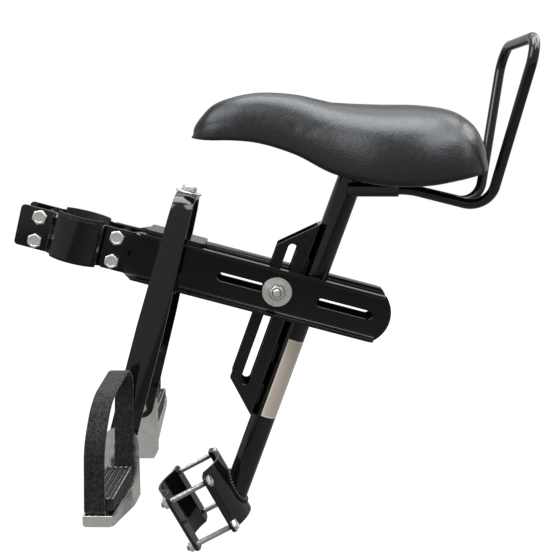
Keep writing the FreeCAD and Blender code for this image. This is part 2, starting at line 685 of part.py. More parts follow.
def footrest_yoke():
    """Formed bar: bulged outside, narrow over the crown, with flat ends for the footrests."""
    foot = YOKE_FOOT_WIDTH / 2
    crown = YOKE_CROWN_WIDTH / 2
    end = YOKE_EAR + YOKE_LEG_BAR
    spine = [Vector(0, foot, -end), Vector(0, foot, -YOKE_KNEE), Vector(0, crown, YOKE_RISE),
             Vector(0, -crown, YOKE_RISE), Vector(0, -foot, -YOKE_KNEE), Vector(0, -foot, -end)]
    bends = [0, YOKE_KNEE_BEND, YOKE_CROWN_BEND, YOKE_CROWN_BEND, YOKE_KNEE_BEND, 0]
    half = YOKE_LEG_BAR / 2
    edge = foot + YOKE_EDGE
    bulge = Vector(0, edge + YOKE_BULGE, -end)
    outside = Part.Arc(Vector(half, edge, -end), bulge, Vector(-half, edge, -end))
    section = Part.Wire([
        Part.makeLine(Vector(-half, foot, -end), Vector(half, foot, -end)),
        Part.makeLine(Vector(half, foot, -end), Vector(half, edge, -end)),
        outside.toShape(),
        Part.makeLine(Vector(-half, edge, -end), Vector(-half, foot, -end)),
    ])
    bar = rounded_wire(spine, bends, False).makePipeShell([section], True, False)
    slim = YOKE_CROWN_BAR / 2
    heel = -YOKE_EAR - half
    outline = ((-slim, FAR), (slim, FAR), (slim, YOKE_RISE), (half, -YOKE_TAPER_END), (half, heel),
               (-half, heel), (-half, -YOKE_TAPER_END), (-slim, YOKE_RISE))
    bar = bar.common(prism("y", outline, (0, 0, 0, 0, half, half, 0, 0), -FAR, FAR))
    bar = bar.cut(rod(Vector(0, 0, YOKE_SEAT), Vector(0, 0, FAR), YOKE_WASHER_D + 2 * HOLE_PLAY))
    bar = bar.cut(rod(Vector(0, 0, 0), Vector(0, 0, FAR), M8_D + 2 * HOLE_PLAY))
    ear_top = -YOKE_EAR + EAR_D / 2 + HOLE_PLAY
    for side in (-1, 1):
        low = min(side * EAR_SEAT, side * FAR)
        bar = bar.cut(block(-FAR, FAR, low, low + FAR - EAR_SEAT, -FAR, ear_top))
    return bar.cut(rod(Vector(0, -FAR, -YOKE_EAR), Vector(0, FAR, -YOKE_EAR), M8_D + 2 * HOLE_PLAY))


def yoke_plate(length, low, high):
    """Clamp plate across both channels, with a hole for the yoke bolt."""
    x = length / 2
    y = YOKE_PLATE_WIDTH / 2
    plate = prism("z", ((-x, -y), (x, -y), (x, y), (-x, y)), YOKE_PLATE_CORNER, low, high)
    return plate.cut(rod(Vector(0, 0, low), Vector(0, 0, high), M8_D + 2 * HOLE_PLAY))


def yoke_clamp():
    """Long bolt through crown, spacer, upper plate, beam and lower plate."""
    beam = BEAM_HEIGHT / 2
    upper = beam + YOKE_PLATE_SHEET
    lower = -upper
    head = YOKE_SEAT + YOKE_WASHER_SHEET
    bore = M8_D + 2 * HOLE_PLAY
    pieces = {
        "yoke_washer": ring(Vector(0, 0, YOKE_SEAT), Vector(0, 0, head), YOKE_WASHER_D, bore),
        "yoke_spacer": ring(Vector(0, 0, upper), Vector(0, 0, YOKE_RISE), SPACER_D, bore),
        "yoke_upper_plate": yoke_plate(YOKE_PLATE_LENGTH, beam, upper),
        "yoke_lower_plate": yoke_plate(YOKE_FOOT_PLATE_LENGTH, lower, -beam),
        "yoke_nut": nut(M8, Vector(0, 0, lower), Z_AXIS * -1),
        "yoke_bolt": bolt(M8, Vector(0, 0, head), Z_AXIS * -1, head - lower + M8_NUT + BOLT_TAIL),
    }
    return pieces


def tray_floor(y):
    """Height of the tray's floor at a distance from the middle plane."""
    return -TRAY_DROP + TRAY_RISE * (y - TRAY_IN) / TRAY_LENGTH


def footrest_bracket():
    """Left footrest: round ear, then a floor whose tapered side walls and end lip are turned down."""
    half = TRAY_WIDTH / 2
    ear = EAR_D / 2
    floor_in = tray_floor(TRAY_IN)
    floor_out = tray_floor(TRAY_OUT)
    root = floor_in - TRAY_ROOT
    brim = floor_out - TRAY_LIP
    outline = ((-ear, 0), (ear, 0), (ear, -EAR_FOOT), (half, root), (-half, root), (-ear, -EAR_FOOT))
    plate = prism("y", outline, (0, 0) + (TRAY_CORNER,) * 4, -TRAY_IN, -EAR_SEAT)
    plate = plate.fuse(rod(Vector(0, -TRAY_IN, 0), Vector(0, -EAR_SEAT, 0), EAR_D))
    floor = ((-TRAY_IN, floor_in - TRAY_SHEET), (-TRAY_OUT, floor_out - TRAY_SHEET), (-TRAY_OUT, floor_out),
             (-TRAY_IN, floor_in))
    wall = ((-TRAY_IN, root), (-TRAY_OUT, brim), (-TRAY_OUT, floor_out), (-TRAY_IN, floor_in))
    tray = plate.fuse(prism("x", floor, 0, -half, half))
    for low in (-half, half - TRAY_SHEET):
        tray = tray.fuse(prism("x", wall, (TRAY_CORNER, 0, 0, 0), low, low + TRAY_SHEET))
    lip = ((-half, brim), (half, brim), (half, floor_out), (-half, floor_out))
    corners = (TRAY_CORNER, TRAY_CORNER, 0, 0)
    tray = tray.fuse(prism("y", lip, corners, -TRAY_OUT - TRAY_SHEET, -TRAY_OUT)).removeSplitter()
    hole = rod(Vector(0, -TRAY_IN, 0), Vector(0, -EAR_SEAT, 0), M8_D + 2 * HOLE_PLAY)
    return tray.cut(hole)


def footrest_pad():
    """Left rubber pad: a wedge on top of the strap, with pockets between its ribs."""
    half = TRAY_WIDTH / 2 - SOFT_PLAY
    inner = STRAP_IN + STRAP_FOLD
    outer = STRAP_OUT - STRAP_FOLD
    lift = STRAP_SHEET + 2 * SOFT_PLAY
    base_in = tray_floor(inner) + lift
    base_out = tray_floor(outer) + lift
    top_in = base_in + PAD_THICK
    top_out = base_out + PAD_THIN
    outline = ((-inner, base_in), (-outer, base_out), (-outer, top_out), (-inner, top_in))
    pad = prism("x", outline, 0, -half, half)
    tilt = PAD_RIM * (top_out - top_in) / (outer - inner)
    bed_in = top_in + tilt - GROOVE_DEPTH
    bed_out = top_out - tilt - GROOVE_DEPTH
    begin = inner + PAD_RIM
    end = outer - PAD_RIM
    pocket = ((-begin, bed_in), (-end, bed_out), (-end, FAR), (-begin, FAR))
    pitch = 2 * half / PAD_RIBS
    for index in range(1, PAD_RIBS):
        low = -half + index * pitch - GROOVE_WIDTH / 2
        pad = pad.cut(prism("x", pocket, 0, low, low + GROOVE_WIDTH))
    return pad


def foot_strap():
    """Left strap: a closed band that runs under the pad, up beside the ear and over the foot."""
    rest = STRAP_SHEET / 2 + SOFT_PLAY
    points = ((STRAP_IN, tray_floor(STRAP_IN) + rest), (STRAP_IN, STRAP_SHOULDER),
              (STRAP_IN + STRAP_TOP_SET, STRAP_TOP), (STRAP_OUT - STRAP_BROW_SET, STRAP_BROW),
              (STRAP_OUT, STRAP_ELBOW), (STRAP_OUT, tray_floor(STRAP_OUT) + rest))
    radii = (STRAP_FOLD, STRAP_TOP_BEND, STRAP_TOP_BEND, STRAP_BROW_BEND, STRAP_BROW_BEND, STRAP_FOLD)
    low = -STRAP_WIDTH / 2
    path = rounded_wire([Vector(low, -y, z) for y, z in points], radii, True)
    face = Part.Face(path)
    band = face.makeOffset2D(STRAP_SHEET / 2).cut(face.makeOffset2D(-STRAP_SHEET / 2))
    return band.Faces[0].extrude(X_AXIS * STRAP_WIDTH)


def footrest_fasteners():
    """Left bolt through the ear and the end of the yoke, with its nut inside."""
    inside = YOKE_FOOT_WIDTH / 2
    length = TRAY_IN - inside + M8_NUT + BOLT_TAIL
    return bolt(M8, Vector(0, -TRAY_IN, 0), Y_AXIS, length), nut(M8, Vector(0, -inside, 0), Y_AXIS)


def both_hands(name, shape):
    """Left node and its mirrored right node."""
    return {name + "_left": shape, name + "_right": mirrored(shape)}


def head_end():
    """Head tube clamp and beam."""
    nodes = {}
    nodes.update(both_hands("beam_channel", placed(BEAM, beam_channel())))
    nodes.update(both_hands("head_clamp", placed(BEAM, head_clamp_half())))
    nodes.update(both_hands("head_clamp_liner", placed(BEAM, clamp_liner_half())))
    for name, rear in (("front", False), ("rear", True)):
        bolts, nuts = clamp_fasteners(rear)
        nodes[name + "_clamp_bolts"] = placed(BEAM, bolts)
        nodes[name + "_clamp_nuts"] = placed(BEAM, nuts)
    return nodes


def post_end():
    """Main bolt set, post, bracket and down tube clamp."""
    shank, washers, main_nut, sleeve = main_clamp()
    bolts, nuts = shell_fasteners()
    upper = shell_half(shell_bolt_spots())
    lower = placed(Placement(Vector(0, 0, 0), Rotation(Z_AXIS, 180)), upper)
    return {
        "main_bolt": placed(POST, shank),
        "main_washers": placed(POST, washers),
        "main_nut": placed(POST, main_nut),
        "main_sleeve": placed(POST, sleeve),
        "seat_post": seat_post(),
        "slotted_bracket": placed(POST, slotted_bracket()),
        "tube_clamp_upper": placed(TUBE, upper),
        "tube_clamp_lower": placed(TUBE, lower),
        "tube_clamp_bolts": placed(TUBE, bolts),
        "tube_clamp_nuts": placed(TUBE, nuts),
    }


def seat():
    """Saddle, its plate and bolts, and the backrest."""
    return {
        "seat_plate": placed(SEAT, seat_plate()),
        "seat_bolts": placed(SEAT, seat_bolts()),
        "saddle_pan": saddle_pan(),
        "saddle_cover": placed(SADDLE, saddle_cover()),
        "backrest_socket": backrest_socket(),
        "backrest_loop": placed(BACK, backrest_loop()),
    }


def footrests():
    """Yoke with its clamp, and a footrest on each side."""
    nodes = {"footrest_yoke": placed(YOKE, footrest_yoke())}
    for name, shape in yoke_clamp().items():
        nodes[name] = placed(YOKE, shape)
    ear_bolt, ear_nut = footrest_fasteners()
    left = {
        "footrest_bracket": footrest_bracket(),
        "footrest_pad": footrest_pad(),
        "foot_strap": foot_strap(),
        "footrest_bolt": ear_bolt,
        "footrest_nut": ear_nut,
    }
    for name, shape in left.items():
        nodes.update(both_hands(name, placed(FOOT, shape)))
    return nodes


def main():
    os.makedirs("parts", exist_ok=True)
    for nodes in (head_end(), post_end(), seat(), footrests()):
        for name, shape in nodes.items():
            shape.exportStep("parts/" + name + ".step")


main()
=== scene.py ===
"""Looks of a child saddle, built around its fixed frame.

The padded skin, foot straps, fasteners, washers, weld beads and decal are new surfaces. Every other
piece keeps the frame's shape and gets its finish here. Lengths are in metres unless a name says mm.
"""
import json
import math

import bpy
import numpy as np
from bpy.props import FloatProperty, FloatVectorProperty, PointerProperty
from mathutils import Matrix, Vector


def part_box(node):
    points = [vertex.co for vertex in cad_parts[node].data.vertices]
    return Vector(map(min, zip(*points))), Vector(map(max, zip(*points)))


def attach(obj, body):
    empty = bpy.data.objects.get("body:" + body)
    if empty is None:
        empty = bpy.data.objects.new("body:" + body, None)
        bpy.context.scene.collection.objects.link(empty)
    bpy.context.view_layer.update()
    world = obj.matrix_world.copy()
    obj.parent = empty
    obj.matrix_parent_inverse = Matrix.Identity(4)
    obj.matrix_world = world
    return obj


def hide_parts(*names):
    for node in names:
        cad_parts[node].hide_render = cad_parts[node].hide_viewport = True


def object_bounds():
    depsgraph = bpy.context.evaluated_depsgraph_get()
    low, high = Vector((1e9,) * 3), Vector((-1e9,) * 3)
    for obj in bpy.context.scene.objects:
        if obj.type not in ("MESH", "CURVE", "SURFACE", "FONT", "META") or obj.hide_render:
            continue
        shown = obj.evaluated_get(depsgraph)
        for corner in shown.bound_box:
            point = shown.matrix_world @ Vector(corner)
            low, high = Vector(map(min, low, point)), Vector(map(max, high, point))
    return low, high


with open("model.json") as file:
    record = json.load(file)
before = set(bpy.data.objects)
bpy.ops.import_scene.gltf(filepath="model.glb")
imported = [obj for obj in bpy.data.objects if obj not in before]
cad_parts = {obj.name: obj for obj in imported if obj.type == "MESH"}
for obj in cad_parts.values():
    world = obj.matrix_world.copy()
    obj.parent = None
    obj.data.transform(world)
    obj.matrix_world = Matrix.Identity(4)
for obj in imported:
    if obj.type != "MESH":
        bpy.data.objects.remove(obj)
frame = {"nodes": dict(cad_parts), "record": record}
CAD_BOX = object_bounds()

bl_info = {
    "name": "Child saddle",
    "version": (1, 0, 0),
    "blender": (4, 5, 0),
    "location": "3D View > Sidebar > Child saddle",
    "description": "Padded skin, straps, fasteners, welds and finishes of a child saddle",
    "category": "Object",
}

MM = 0.001
RECORD = frame["record"]
JOINTS = {joint["name"]: joint for joint in RECORD["behaviour"]["joints"]}
MOUNTS = {mount["name"]: mount for mount in RECORD["mounts"]}
BODY_OF = {node: body for body, nodes in RECORD["behaviour"]["bodies"].items() for node in nodes}
SLOT_OF = {row["node"]: row["material_slot"] for row in RECORD["subparts"]}


def unit(vector):
    """The direction of a vector, with length 1."""
    vector = np.asarray(vector, float)
    return vector / np.linalg.norm(vector, axis=-1, keepdims=True)


ACROSS = np.array((0.0, 1.0, 0.0))
UP = np.array((0.0, 0.0, 1.0))
BEAM_UP = unit(MOUNTS["head_tube_clamp"]["axis"])
ALONG_POST = unit(JOINTS["post_height"]["axis"])
BEHIND_POST = np.cross(ACROSS, ALONG_POST)
MAIN_BOLT = np.array(JOINTS["post_tilt"]["pos_m"])
TUBE_AXIS = unit(MOUNTS["down_tube_clamp"]["axis"])
TUBE_AT = np.array(MOUNTS["down_tube_clamp"]["pos_m"])
TUBE_OUT = np.cross(TUBE_AXIS, ACROSS)

# Saddle outline in mm: distance behind the nose, half width, top and rim above the skin's lowest point
SADDLE_STATIONS = (
    (-0.8, 0.5, 43.2, 42.4),
    (0.0, 7.0, 51.5, 42.0),
    (8.0, 17.0, 63.5, 41.5),
    (20.0, 23.5, 75.0, 41.0),
    (41.0, 28.0, 83.0, 41.0),
    (66.0, 32.0, 87.0, 38.5),
    (101.0, 41.5, 85.0, 28.0),
    (137.0, 57.0, 77.0, 10.5),
    (181.0, 75.0, 74.5, 1.0),
    (221.0, 80.0, 74.5, 0.5),
    (253.0, 73.0, 69.5, 5.5),
    (273.0, 58.0, 57.5, 9.5),
    (285.0, 33.0, 40.0, 12.5),
    (289.0, 15.0, 30.0, 16.0),
    (290.0, 1.0, 24.0, 22.0),
)
# Grid of the skin: rows from the nose to the rear, and columns over the top
SKIN_ROWS = 110
DOME_COLUMNS = 49
# Dome over the rim: powers of its cosine and its sine, and how much its sides draw in towards the top
DOME_SIDE_POWER = 0.8
DOME_TOP_POWER = 0.86
DOME_TUCK = 0.06
# Share of the dome's height from which the skin swells freely, and the freedom below which it is held
FREE_FROM = 0.35
HELD_BELOW = 0.5
CLOTH_STEPS = 20
# Rim that turns in: shares of the half width, drops in mm, and the half width in mm from which it is full
RIM_SHARES = (0.975, 0.93, 0.87)
RIM_DROPS_MM = (1.2, 1.9, 1.4)
RIM_FULL_MM = 20.0
# Underside: rise from the rim, least skin over it, step to the hollow, and the hollow's share past the pan
SOFFIT_RISE_MM = 1.5
SKIN_LEAST_MM = 0.3
HOLLOW_STEP_MM = 0.6
END_HOLLOW = 0.6
# Hollow below the skin for the pan, in mm: distance behind the nose, half width, underside of the pan
PAN_STATIONS = (
    (21.0, 10.0, 50.5),
    (62.0, 19.0, 46.5),
    (95.0, 27.0, 40.5),
    (119.0, 36.0, 31.1),
    (195.0, 64.0, 8.6),
    (223.0, 67.0, 8.5),
    (255.0, 58.0, 13.5),
)
PAN_SHEET_MM = 5.0
PAN_CLEAR_MM = 0.9
PAN_END_CLEAR_MM = 4.0
PAD_RIBS = 5

# Strap loop in mm: corners in from the inner or the outer run, above the tray there, with a radius each.
# It runs up beside the ear, over the foot and down to the tray's outer end.
STRAP_INNER_MM = ((0.0, 0.0, 4.0), (0.0, 104.6, 18.0), (16.0, 118.6, 18.0))
STRAP_OUTER_MM = ((24.0, 94.9, 45.0), (0.0, 60.9, 45.0), (0.0, 0.0, 4.0))
# Band of the strap: columns round it, powers of its edge and its face, and points on each arc of the loop
BAND_COLUMNS = 40
BAND_EDGE_POWER = 0.3
BAND_FACE_POWER = 0.5
ARC_POINTS = 25

# Hex fasteners in mm: shank, width across flats, head height, thread pitch and longest thread
M8 = {"d": 8.0, "flats": 13.0, "head": 5.3, "pitch": 1.25, "thread": 22.0}
M6 = {"d": 6.0, "flats": 10.0, "head": 4.0, "pitch": 1.0, "thread": math.inf}
LARGE_FLATS_MM = 11.5
# Direction of each bolt; its nut's node has the same name with nut for bolt
BOLT_AXES = {
    "front_clamp_bolts": ACROSS,
    "rear_clamp_bolts": ACROSS,
    "main_bolt": ACROSS,
    "tube_clamp_bolts": TUBE_OUT,
    "yoke_bolt": BEAM_UP,
    "footrest_bolt_left": ACROSS,
    "footrest_bolt_right": ACROSS,
}
# Hexagon: columns round it, share of the reach that counts as a corner, and the chamfer's circle and angle
HEX_COLUMNS = 36
CORNER_SHARE = 0.98
CHAMFER_SHARE = 0.95
CHAMFER_ANGLE = math.radians(30)
# Soft knee below the chamfer, and broken edges at the seat of a bolt and of a nut, in mm
KNEE_MM = 0.1
BOLT_EDGE_MM = (0.2, 0.25)
NUT_EDGE_MM = 0.25
# Dish in a bolt's head: shares of the chamfer's circle, each with a depth in mm
DISH = ((0.3, 0.35), (0.74, 0.3), (0.8, 0.0))
# Thread: rows for each pitch, shares of the pitch that it and the tip are deep, the tip's flat share, and
# the share of its depth that is left where it fades at the tip, with the share of the pitch it draws in by
THREAD_ROWS = 6
THREAD_DEPTH = 0.61
TIP_DEPTH = 0.65
TIP_FLAT = 0.6
THREAD_FADE = 0.35
FADE_DEPTH = 0.5
# Clearances in mm: round the thread, at its two ends, on the plain shank, and in a nut's bore and mouths
THREAD_CLEAR_MM = 0.06
THREAD_END_MM = 0.05
SHANK_LEAST_MM = 0.8
SHANK_RELIEF_MM = 0.3
BORE_CLEAR_MM = 0.1
COUNTERSINK_MM = 0.5
# Washer: columns round it, rows over its face, its broken edges, and the turned rings on its face
WASHER_COLUMNS = 96
WASHER_ROWS = 46
WASHER_EDGE_MM = 0.3
FACE_EDGE_MM = 0.4
TURNED_PITCH_MM = 1.9
TURNED_DEPTH_MM = 0.28

# Weld bead: columns round it, share that its ripple swells it, and the power and least size of its tips
BEAD_COLUMNS = 12
BEAD_RIPPLE = 0.13
BEAD_TIP_POWER = 12
BEAD_TIP_LEAST = 0.02

# Softboxes: azimuth in degrees from the camera to the rear, elevation, width and height, power in watts
LAMPS = {
    "overhead softbox": (180, 88, (1.2, 0.9), 28),
    "nose softbox": (-60, 43, (0.9, 0.8), 12),
    "side softbox": (48, 54, (0.9, 0.5), 9),
    "rear softbox": (105, 42, (1.3, 0.8), 16),
    "back softbox": (175, 55, (1.2, 0.6), 4),
}


def hex_colour(code):
    """Linear red, green, blue and alpha of an sRGB hex value."""
    channels = [int(code[i:i + 2], 16) / 255 for i in (0, 2, 4)]
    return [c / 12.92 if c <= 0.04045 else ((c + 0.055) / 1.055) ** 2.4 for c in channels] + [1.0]


COLOUR = {"size": 4, "min": 0, "max": 1, "subtype": "COLOR"}
PLACE = {"subtype": "XYZ", "unit": "LENGTH"}


class StageSettings(bpy.types.PropertyGroup):
    """Floor, lamps and camera."""
    floor_drop: FloatProperty(
        name="Floor drop", description="Floor below the lowest point", default=0.12, unit="LENGTH")
    floor_reach: FloatProperty(
        name="Floor reach", description="Half length of the floor", default=4.0, unit="LENGTH")
    lamp_target: FloatVectorProperty(
        name="Lamp target", description="Place that the lamps face", default=(0.25, 0.0, 0.1), **PLACE)
    lamp_distance: FloatProperty(
        name="Lamp distance", description="Distance of the lamps from their target",
        default=1.4, unit="LENGTH")
    camera_place: FloatVectorProperty(
        name="Camera place", description="Where the camera stands", default=(0.2112, -0.9, 0.1104), **PLACE)
    camera_tilt: FloatProperty(
        name="Camera tilt", description="Turn of the camera up from straight down",
        default=math.radians(80.5), unit="ROTATION")
    camera_turn: FloatProperty(
        name="Camera turn", description="Turn of the camera about the upright",
        default=math.radians(0.94), unit="ROTATION")
    camera_lens: FloatProperty(
        name="Camera lens", description="Focal length in mm on a 36 mm sensor", default=58.9)


class SaddleSettings(bpy.types.PropertyGroup):
    """Padded skin."""
    inset: FloatProperty(
        name="Inset", description="How far the skin starts inside its final form",
        default=1.6 * MM, unit="LENGTH")
    swell: FloatProperty(
        name="Swell", description="Most that a point of the skin may move", default=2.6 * MM, unit="LENGTH")
    pressure: FloatProperty(name="Pressure", description="Pressure of the padding on the skin", default=4.0)


class StrapSettings(bpy.types.PropertyGroup):
    """Foot straps."""
    sheet: FloatProperty(name="Sheet", description="Thickness of the strap", default=2.0 * MM, unit="LENGTH")
    skew: FloatProperty(
        name="Skew", description="How far the strap lies off the tray's middle at each end",
        default=3.8 * MM, unit="LENGTH")
    lean: FloatProperty(
        name="Lean", description="How far the top of the strap leans to the rear",
        default=3.5 * MM, unit="LENGTH")


class DecalSettings(bpy.types.PropertyGroup):
    """Blank decal on the post."""
    start: FloatProperty(
        name="Start", description="Top of the decal below the main bolt", default=43 * MM, unit="LENGTH")
    length: FloatProperty(
        name="Length", description="Length of the decal along the post", default=86 * MM, unit="LENGTH")
    spread: FloatProperty(
        name="Spread", description="Angle that the decal covers round the post",
        default=math.radians(80), unit="ROTATION")
    turn: FloatProperty(
        name="Turn", description="Turn of the decal's middle from the side to the rear",
        default=math.radians(24), unit="ROTATION")


class FinishSettings(bpy.types.PropertyGroup):
    """Colours of the finishes and the size of broken edges."""
    edge: FloatProperty(
        name="Edge", description="Rounding of sheet and bar edges", default=0.4 * MM, unit="LENGTH")
    enamel: FloatVectorProperty(
        name="Enamel", description="Black stove enamel", default=hex_colour("0d0d0e"), **COLOUR)
    zinc: FloatVectorProperty(
        name="Zinc", description="Bright zinc plate", default=hex_colour("f8f8f5"), **COLOUR)
    chrome: FloatVectorProperty(
        name="Chrome", description="Chrome plate", default=hex_colour("f7f8f9"), **COLOUR)
    leatherette: FloatVectorProperty(
        name="Leatherette", description="Black vinyl skin", default=hex_colour("0b0b07"), **COLOUR)
    felt: FloatVectorProperty(
        name="Felt", description="Napped strap", default=hex_colour("353535"), **COLOUR)
    rubber: FloatVectorProperty(
        name="Rubber", description="Black rubber", default=hex_colour("19191a"), **COLOUR)
    plastic: FloatVectorProperty(
        name="Plastic", description="Moulded saddle pan", default=hex_colour("1a1a1b"), **COLOUR)
    vinyl: FloatVectorProperty(
        name="Vinyl", description="Blank decal on the post", default=hex_colour("f0eae0"), **COLOUR)


# Shapes

def read_places(mesh, what="co"):
    """Vertex places or normals of a mesh as rows of three."""
    out = np.empty(3 * len(mesh.vertices), np.float32)
    mesh.vertices.foreach_get(what, out)
    return out.reshape(-1, 3).astype(float)


def node_points(name):
    """Corner places of one node of the frame."""
    return read_places(frame["nodes"][name].data)


def full_turn(columns):
    """Angles evenly spaced round a circle."""
    return np.linspace(0, 2 * math.pi, columns, endpoint=False)


def signed_power(value, power):
    """A value raised to a power, with its sign kept."""
    return np.sign(value) * np.abs(value) ** power


def distance_along(path, power=1.0):
    """Running sum of the lengths of a path's steps, each raised to a power."""
    return np.concatenate(([0], np.cumsum(np.linalg.norm(np.diff(path, axis=0), axis=1) ** power)))


def crosswise(axis):
    """Two directions square to an axis and to each other, right-handed with it."""
    nearly_along = 0.9
    helper = UP if abs(axis @ ACROSS) > nearly_along else ACROSS
    side = unit(np.cross(axis, helper))
    return side, np.cross(axis, side)


def skin_over(rings, joined=False):
    """Skin over rings of points: rows follow a path and columns go round it, right-handed.

    A joined skin's last row meets its first. Otherwise each end is a fan to the middle of its ring.
    Returns places, four-sided faces and three-sided faces.
    """
    rows, columns = rings.shape[:2]
    row = np.arange(rows if joined else rows - 1)[:, None]
    column = np.arange(columns)[None, :]
    after = (column + 1) % columns
    following = (row + 1) % rows
    corners = (row * columns + column, row * columns + after, following * columns + after,
               following * columns + column)
    quads = np.stack(np.broadcast_arrays(*corners), -1).reshape(-1, 4)
    places = rings.reshape(-1, 3)
    if joined:
        return places, quads, np.empty((0, 3), int)
    ring = np.arange(columns)
    onward = (ring + 1) % columns
    last = (rows - 1) * columns
    hub = np.full(columns, len(places))
    fans = np.vstack([np.stack([onward, ring, hub], 1), np.stack([last + ring, last + onward, hub + 1], 1)])
    places = np.vstack([places, rings[0].mean(0), rings[-1].mean(0)])
    return places, quads, fans


def slab(top, under):
    """Closed sheet between two grids of points: both faces, and a rim between their borders.

    Returns places, four-sided faces and no three-sided faces.
    """
    rows, columns = top.shape[:2]
    index = np.arange(rows * columns).reshape(rows, columns)
    corners = (index[:-1, :-1], index[:-1, 1:], index[1:, 1:], index[1:, :-1])
    face = np.stack(corners, -1).reshape(-1, 4)
    border = np.concatenate([index[0, :-1], index[:-1, -1], index[-1, :0:-1], index[:0:-1, 0]])
    after = np.roll(border, -1)
    below = rows * columns
    rim = np.stack([after, border, border + below, after + below], 1)
    places = np.vstack([top.reshape(-1, 3), under.reshape(-1, 3)])
    return places, np.vstack([face, face[:, ::-1] + below, rim]), np.empty((0, 3), int)


def new_object(name, data):
    """Object with its data, linked into the scene."""
    item = bpy.data.objects.new(name, data)
    bpy.context.scene.collection.objects.link(item)
    return item


def add_piece(name, skins, finish, like, replaced=(), sharp=35.0):
    """One object from several skins, riding with a node of the frame, in one of the finishes."""
    starts = np.cumsum([0] + [len(skin[0]) for skin in skins])
    quads = np.vstack([skin[1] + start for skin, start in zip(skins, starts)])
    fans = np.vstack([skin[2] + start for skin, start in zip(skins, starts)])
    mesh = bpy.data.meshes.new(name)
    mesh.from_pydata(np.vstack([skin[0] for skin in skins]), [], quads.tolist() + fans.tolist())
    mesh.polygons.foreach_set("use_smooth", np.ones(len(mesh.polygons), bool))
    mesh.set_sharp_from_angle(angle=math.radians(sharp))
    mesh.materials.append(finish_of(finish))
    piece = new_object(name, mesh)
    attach(piece, BODY_OF[like])
    if replaced:
        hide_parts(*replaced)
    return piece


def smooth_through(stations, count):
    """Points on a smooth curve through stations of any dimension.

    Each span is a cubic over the root of its chord, with slopes from the stations beside its ends.
    """
    stations = np.asarray(stations, float)
    knots = distance_along(stations, 0.5)
    slopes = np.gradient(stations, knots, axis=0)
    at = np.linspace(0, knots[-1], count)
    span = np.clip(np.searchsorted(knots, at, side="right") - 1, 0, len(knots) - 2)
    width = (knots[span + 1] - knots[span])[:, None]
    t = (at - knots[span])[:, None] / width
    return (stations[span] * (1 + 2 * t) * (1 - t) ** 2 + slopes[span] * width * t * (1 - t) ** 2
            + stations[span + 1] * t ** 2 * (3 - 2 * t) - slopes[span + 1] * width * t ** 2 * (1 - t))


def saddle_rings():
    """Rings of the padded skin, from the nose to the rear, in metres, and how free each point is to swell.

    Over the top a ring is a superellipse that stands on the rim. Below, it turns in round the rim and
    then steps up into the hollow that holds the pan.
    """
    stations = smooth_through(SADDLE_STATIONS, SKIN_ROWS)
    behind, half, top, rim = (stations[:, i:i + 1] for i in range(4))
    angle = np.linspace(0, math.pi, DOME_COLUMNS)[None, :]
    rise = np.sin(angle) ** DOME_TOP_POWER
    over_y = half * signed_power(np.cos(angle), DOME_SIDE_POWER) * (1 - DOME_TUCK * rise ** 2)
    over_z = rim + (top - rim) * rise
    pan = np.array(PAN_STATIONS)
    held = (behind > pan[0, 0] - PAN_END_CLEAR_MM) & (behind < pan[-1, 0] + PAN_END_CLEAR_MM)
    edge = np.where(held, np.interp(behind, pan[:, 0], pan[:, 1]) + PAN_CLEAR_MM, END_HOLLOW * half)
    soffit = np.minimum(rim + SOFFIT_RISE_MM, top - SKIN_LEAST_MM)
    ceiling = np.interp(behind, pan[:, 0], pan[:, 2]) + PAN_SHEET_MM + PAN_CLEAR_MM
    ceiling = np.where(held, ceiling, soffit)
    turn = np.minimum(1.0, half / RIM_FULL_MM)
    under_y = np.hstack([half * RIM_SHARES, edge + HOLLOW_STEP_MM, edge, 0.5 * edge])
    under_z = np.hstack([rim - turn * RIM_DROPS_MM, soffit, ceiling, ceiling])
    ring_y = np.hstack([over_y, -under_y, 0 * half, under_y[:, ::-1]])
    ring_z = np.hstack([over_z, under_z, ceiling, under_z[:, ::-1]])
    rings = np.stack([np.broadcast_to(behind, ring_y.shape), ring_y, ring_z], -1) * MM
    free = np.zeros(ring_y.shape)
    free[:, :DOME_COLUMNS] = np.clip(np.sin(angle) / FREE_FROM, 0, 1)
    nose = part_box("saddle_cover")[0][0]
    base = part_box("saddle_pan")[0][2] - pan[:, 2].min() * MM
    return rings + (nose, 0, base), free


def swell_skin(piece, free, settings):
    """Swell the skin from a slightly smaller form by cloth pressure, its rim held, and keep the result."""
    mesh = piece.data
    start = read_places(mesh) - read_places(mesh, "normal") * free[:, None] * settings.inset
    mesh.vertices.foreach_set("co", start.ravel())
    held = piece.vertex_groups.new(name="rim")
    held.add(np.flatnonzero(free < HELD_BELOW).tolist(), 1.0, "REPLACE")
    cloth = piece.modifiers.new("padding", "CLOTH")
    cloth.settings.use_pressure = True
    cloth.settings.uniform_pressure_force = settings.pressure
    cloth.settings.effector_weights.gravity = 0
    cloth.settings.vertex_group_mass = held.name
    scene = bpy.context.scene
    for step in range(CLOTH_STEPS):
        scene.frame_set(step + 1)
    graph = bpy.context.evaluated_depsgraph_get()
    moved = read_places(piece.evaluated_get(graph).data) - start
    scene.frame_set(1)
    reach = np.linalg.norm(moved, axis=1, keepdims=True)
    moved *= np.minimum(1, settings.swell / np.maximum(reach, 1e-9))
    piece.modifiers.remove(cloth)
    mesh.vertices.foreach_set("co", (start + moved).ravel())
    mesh.update()


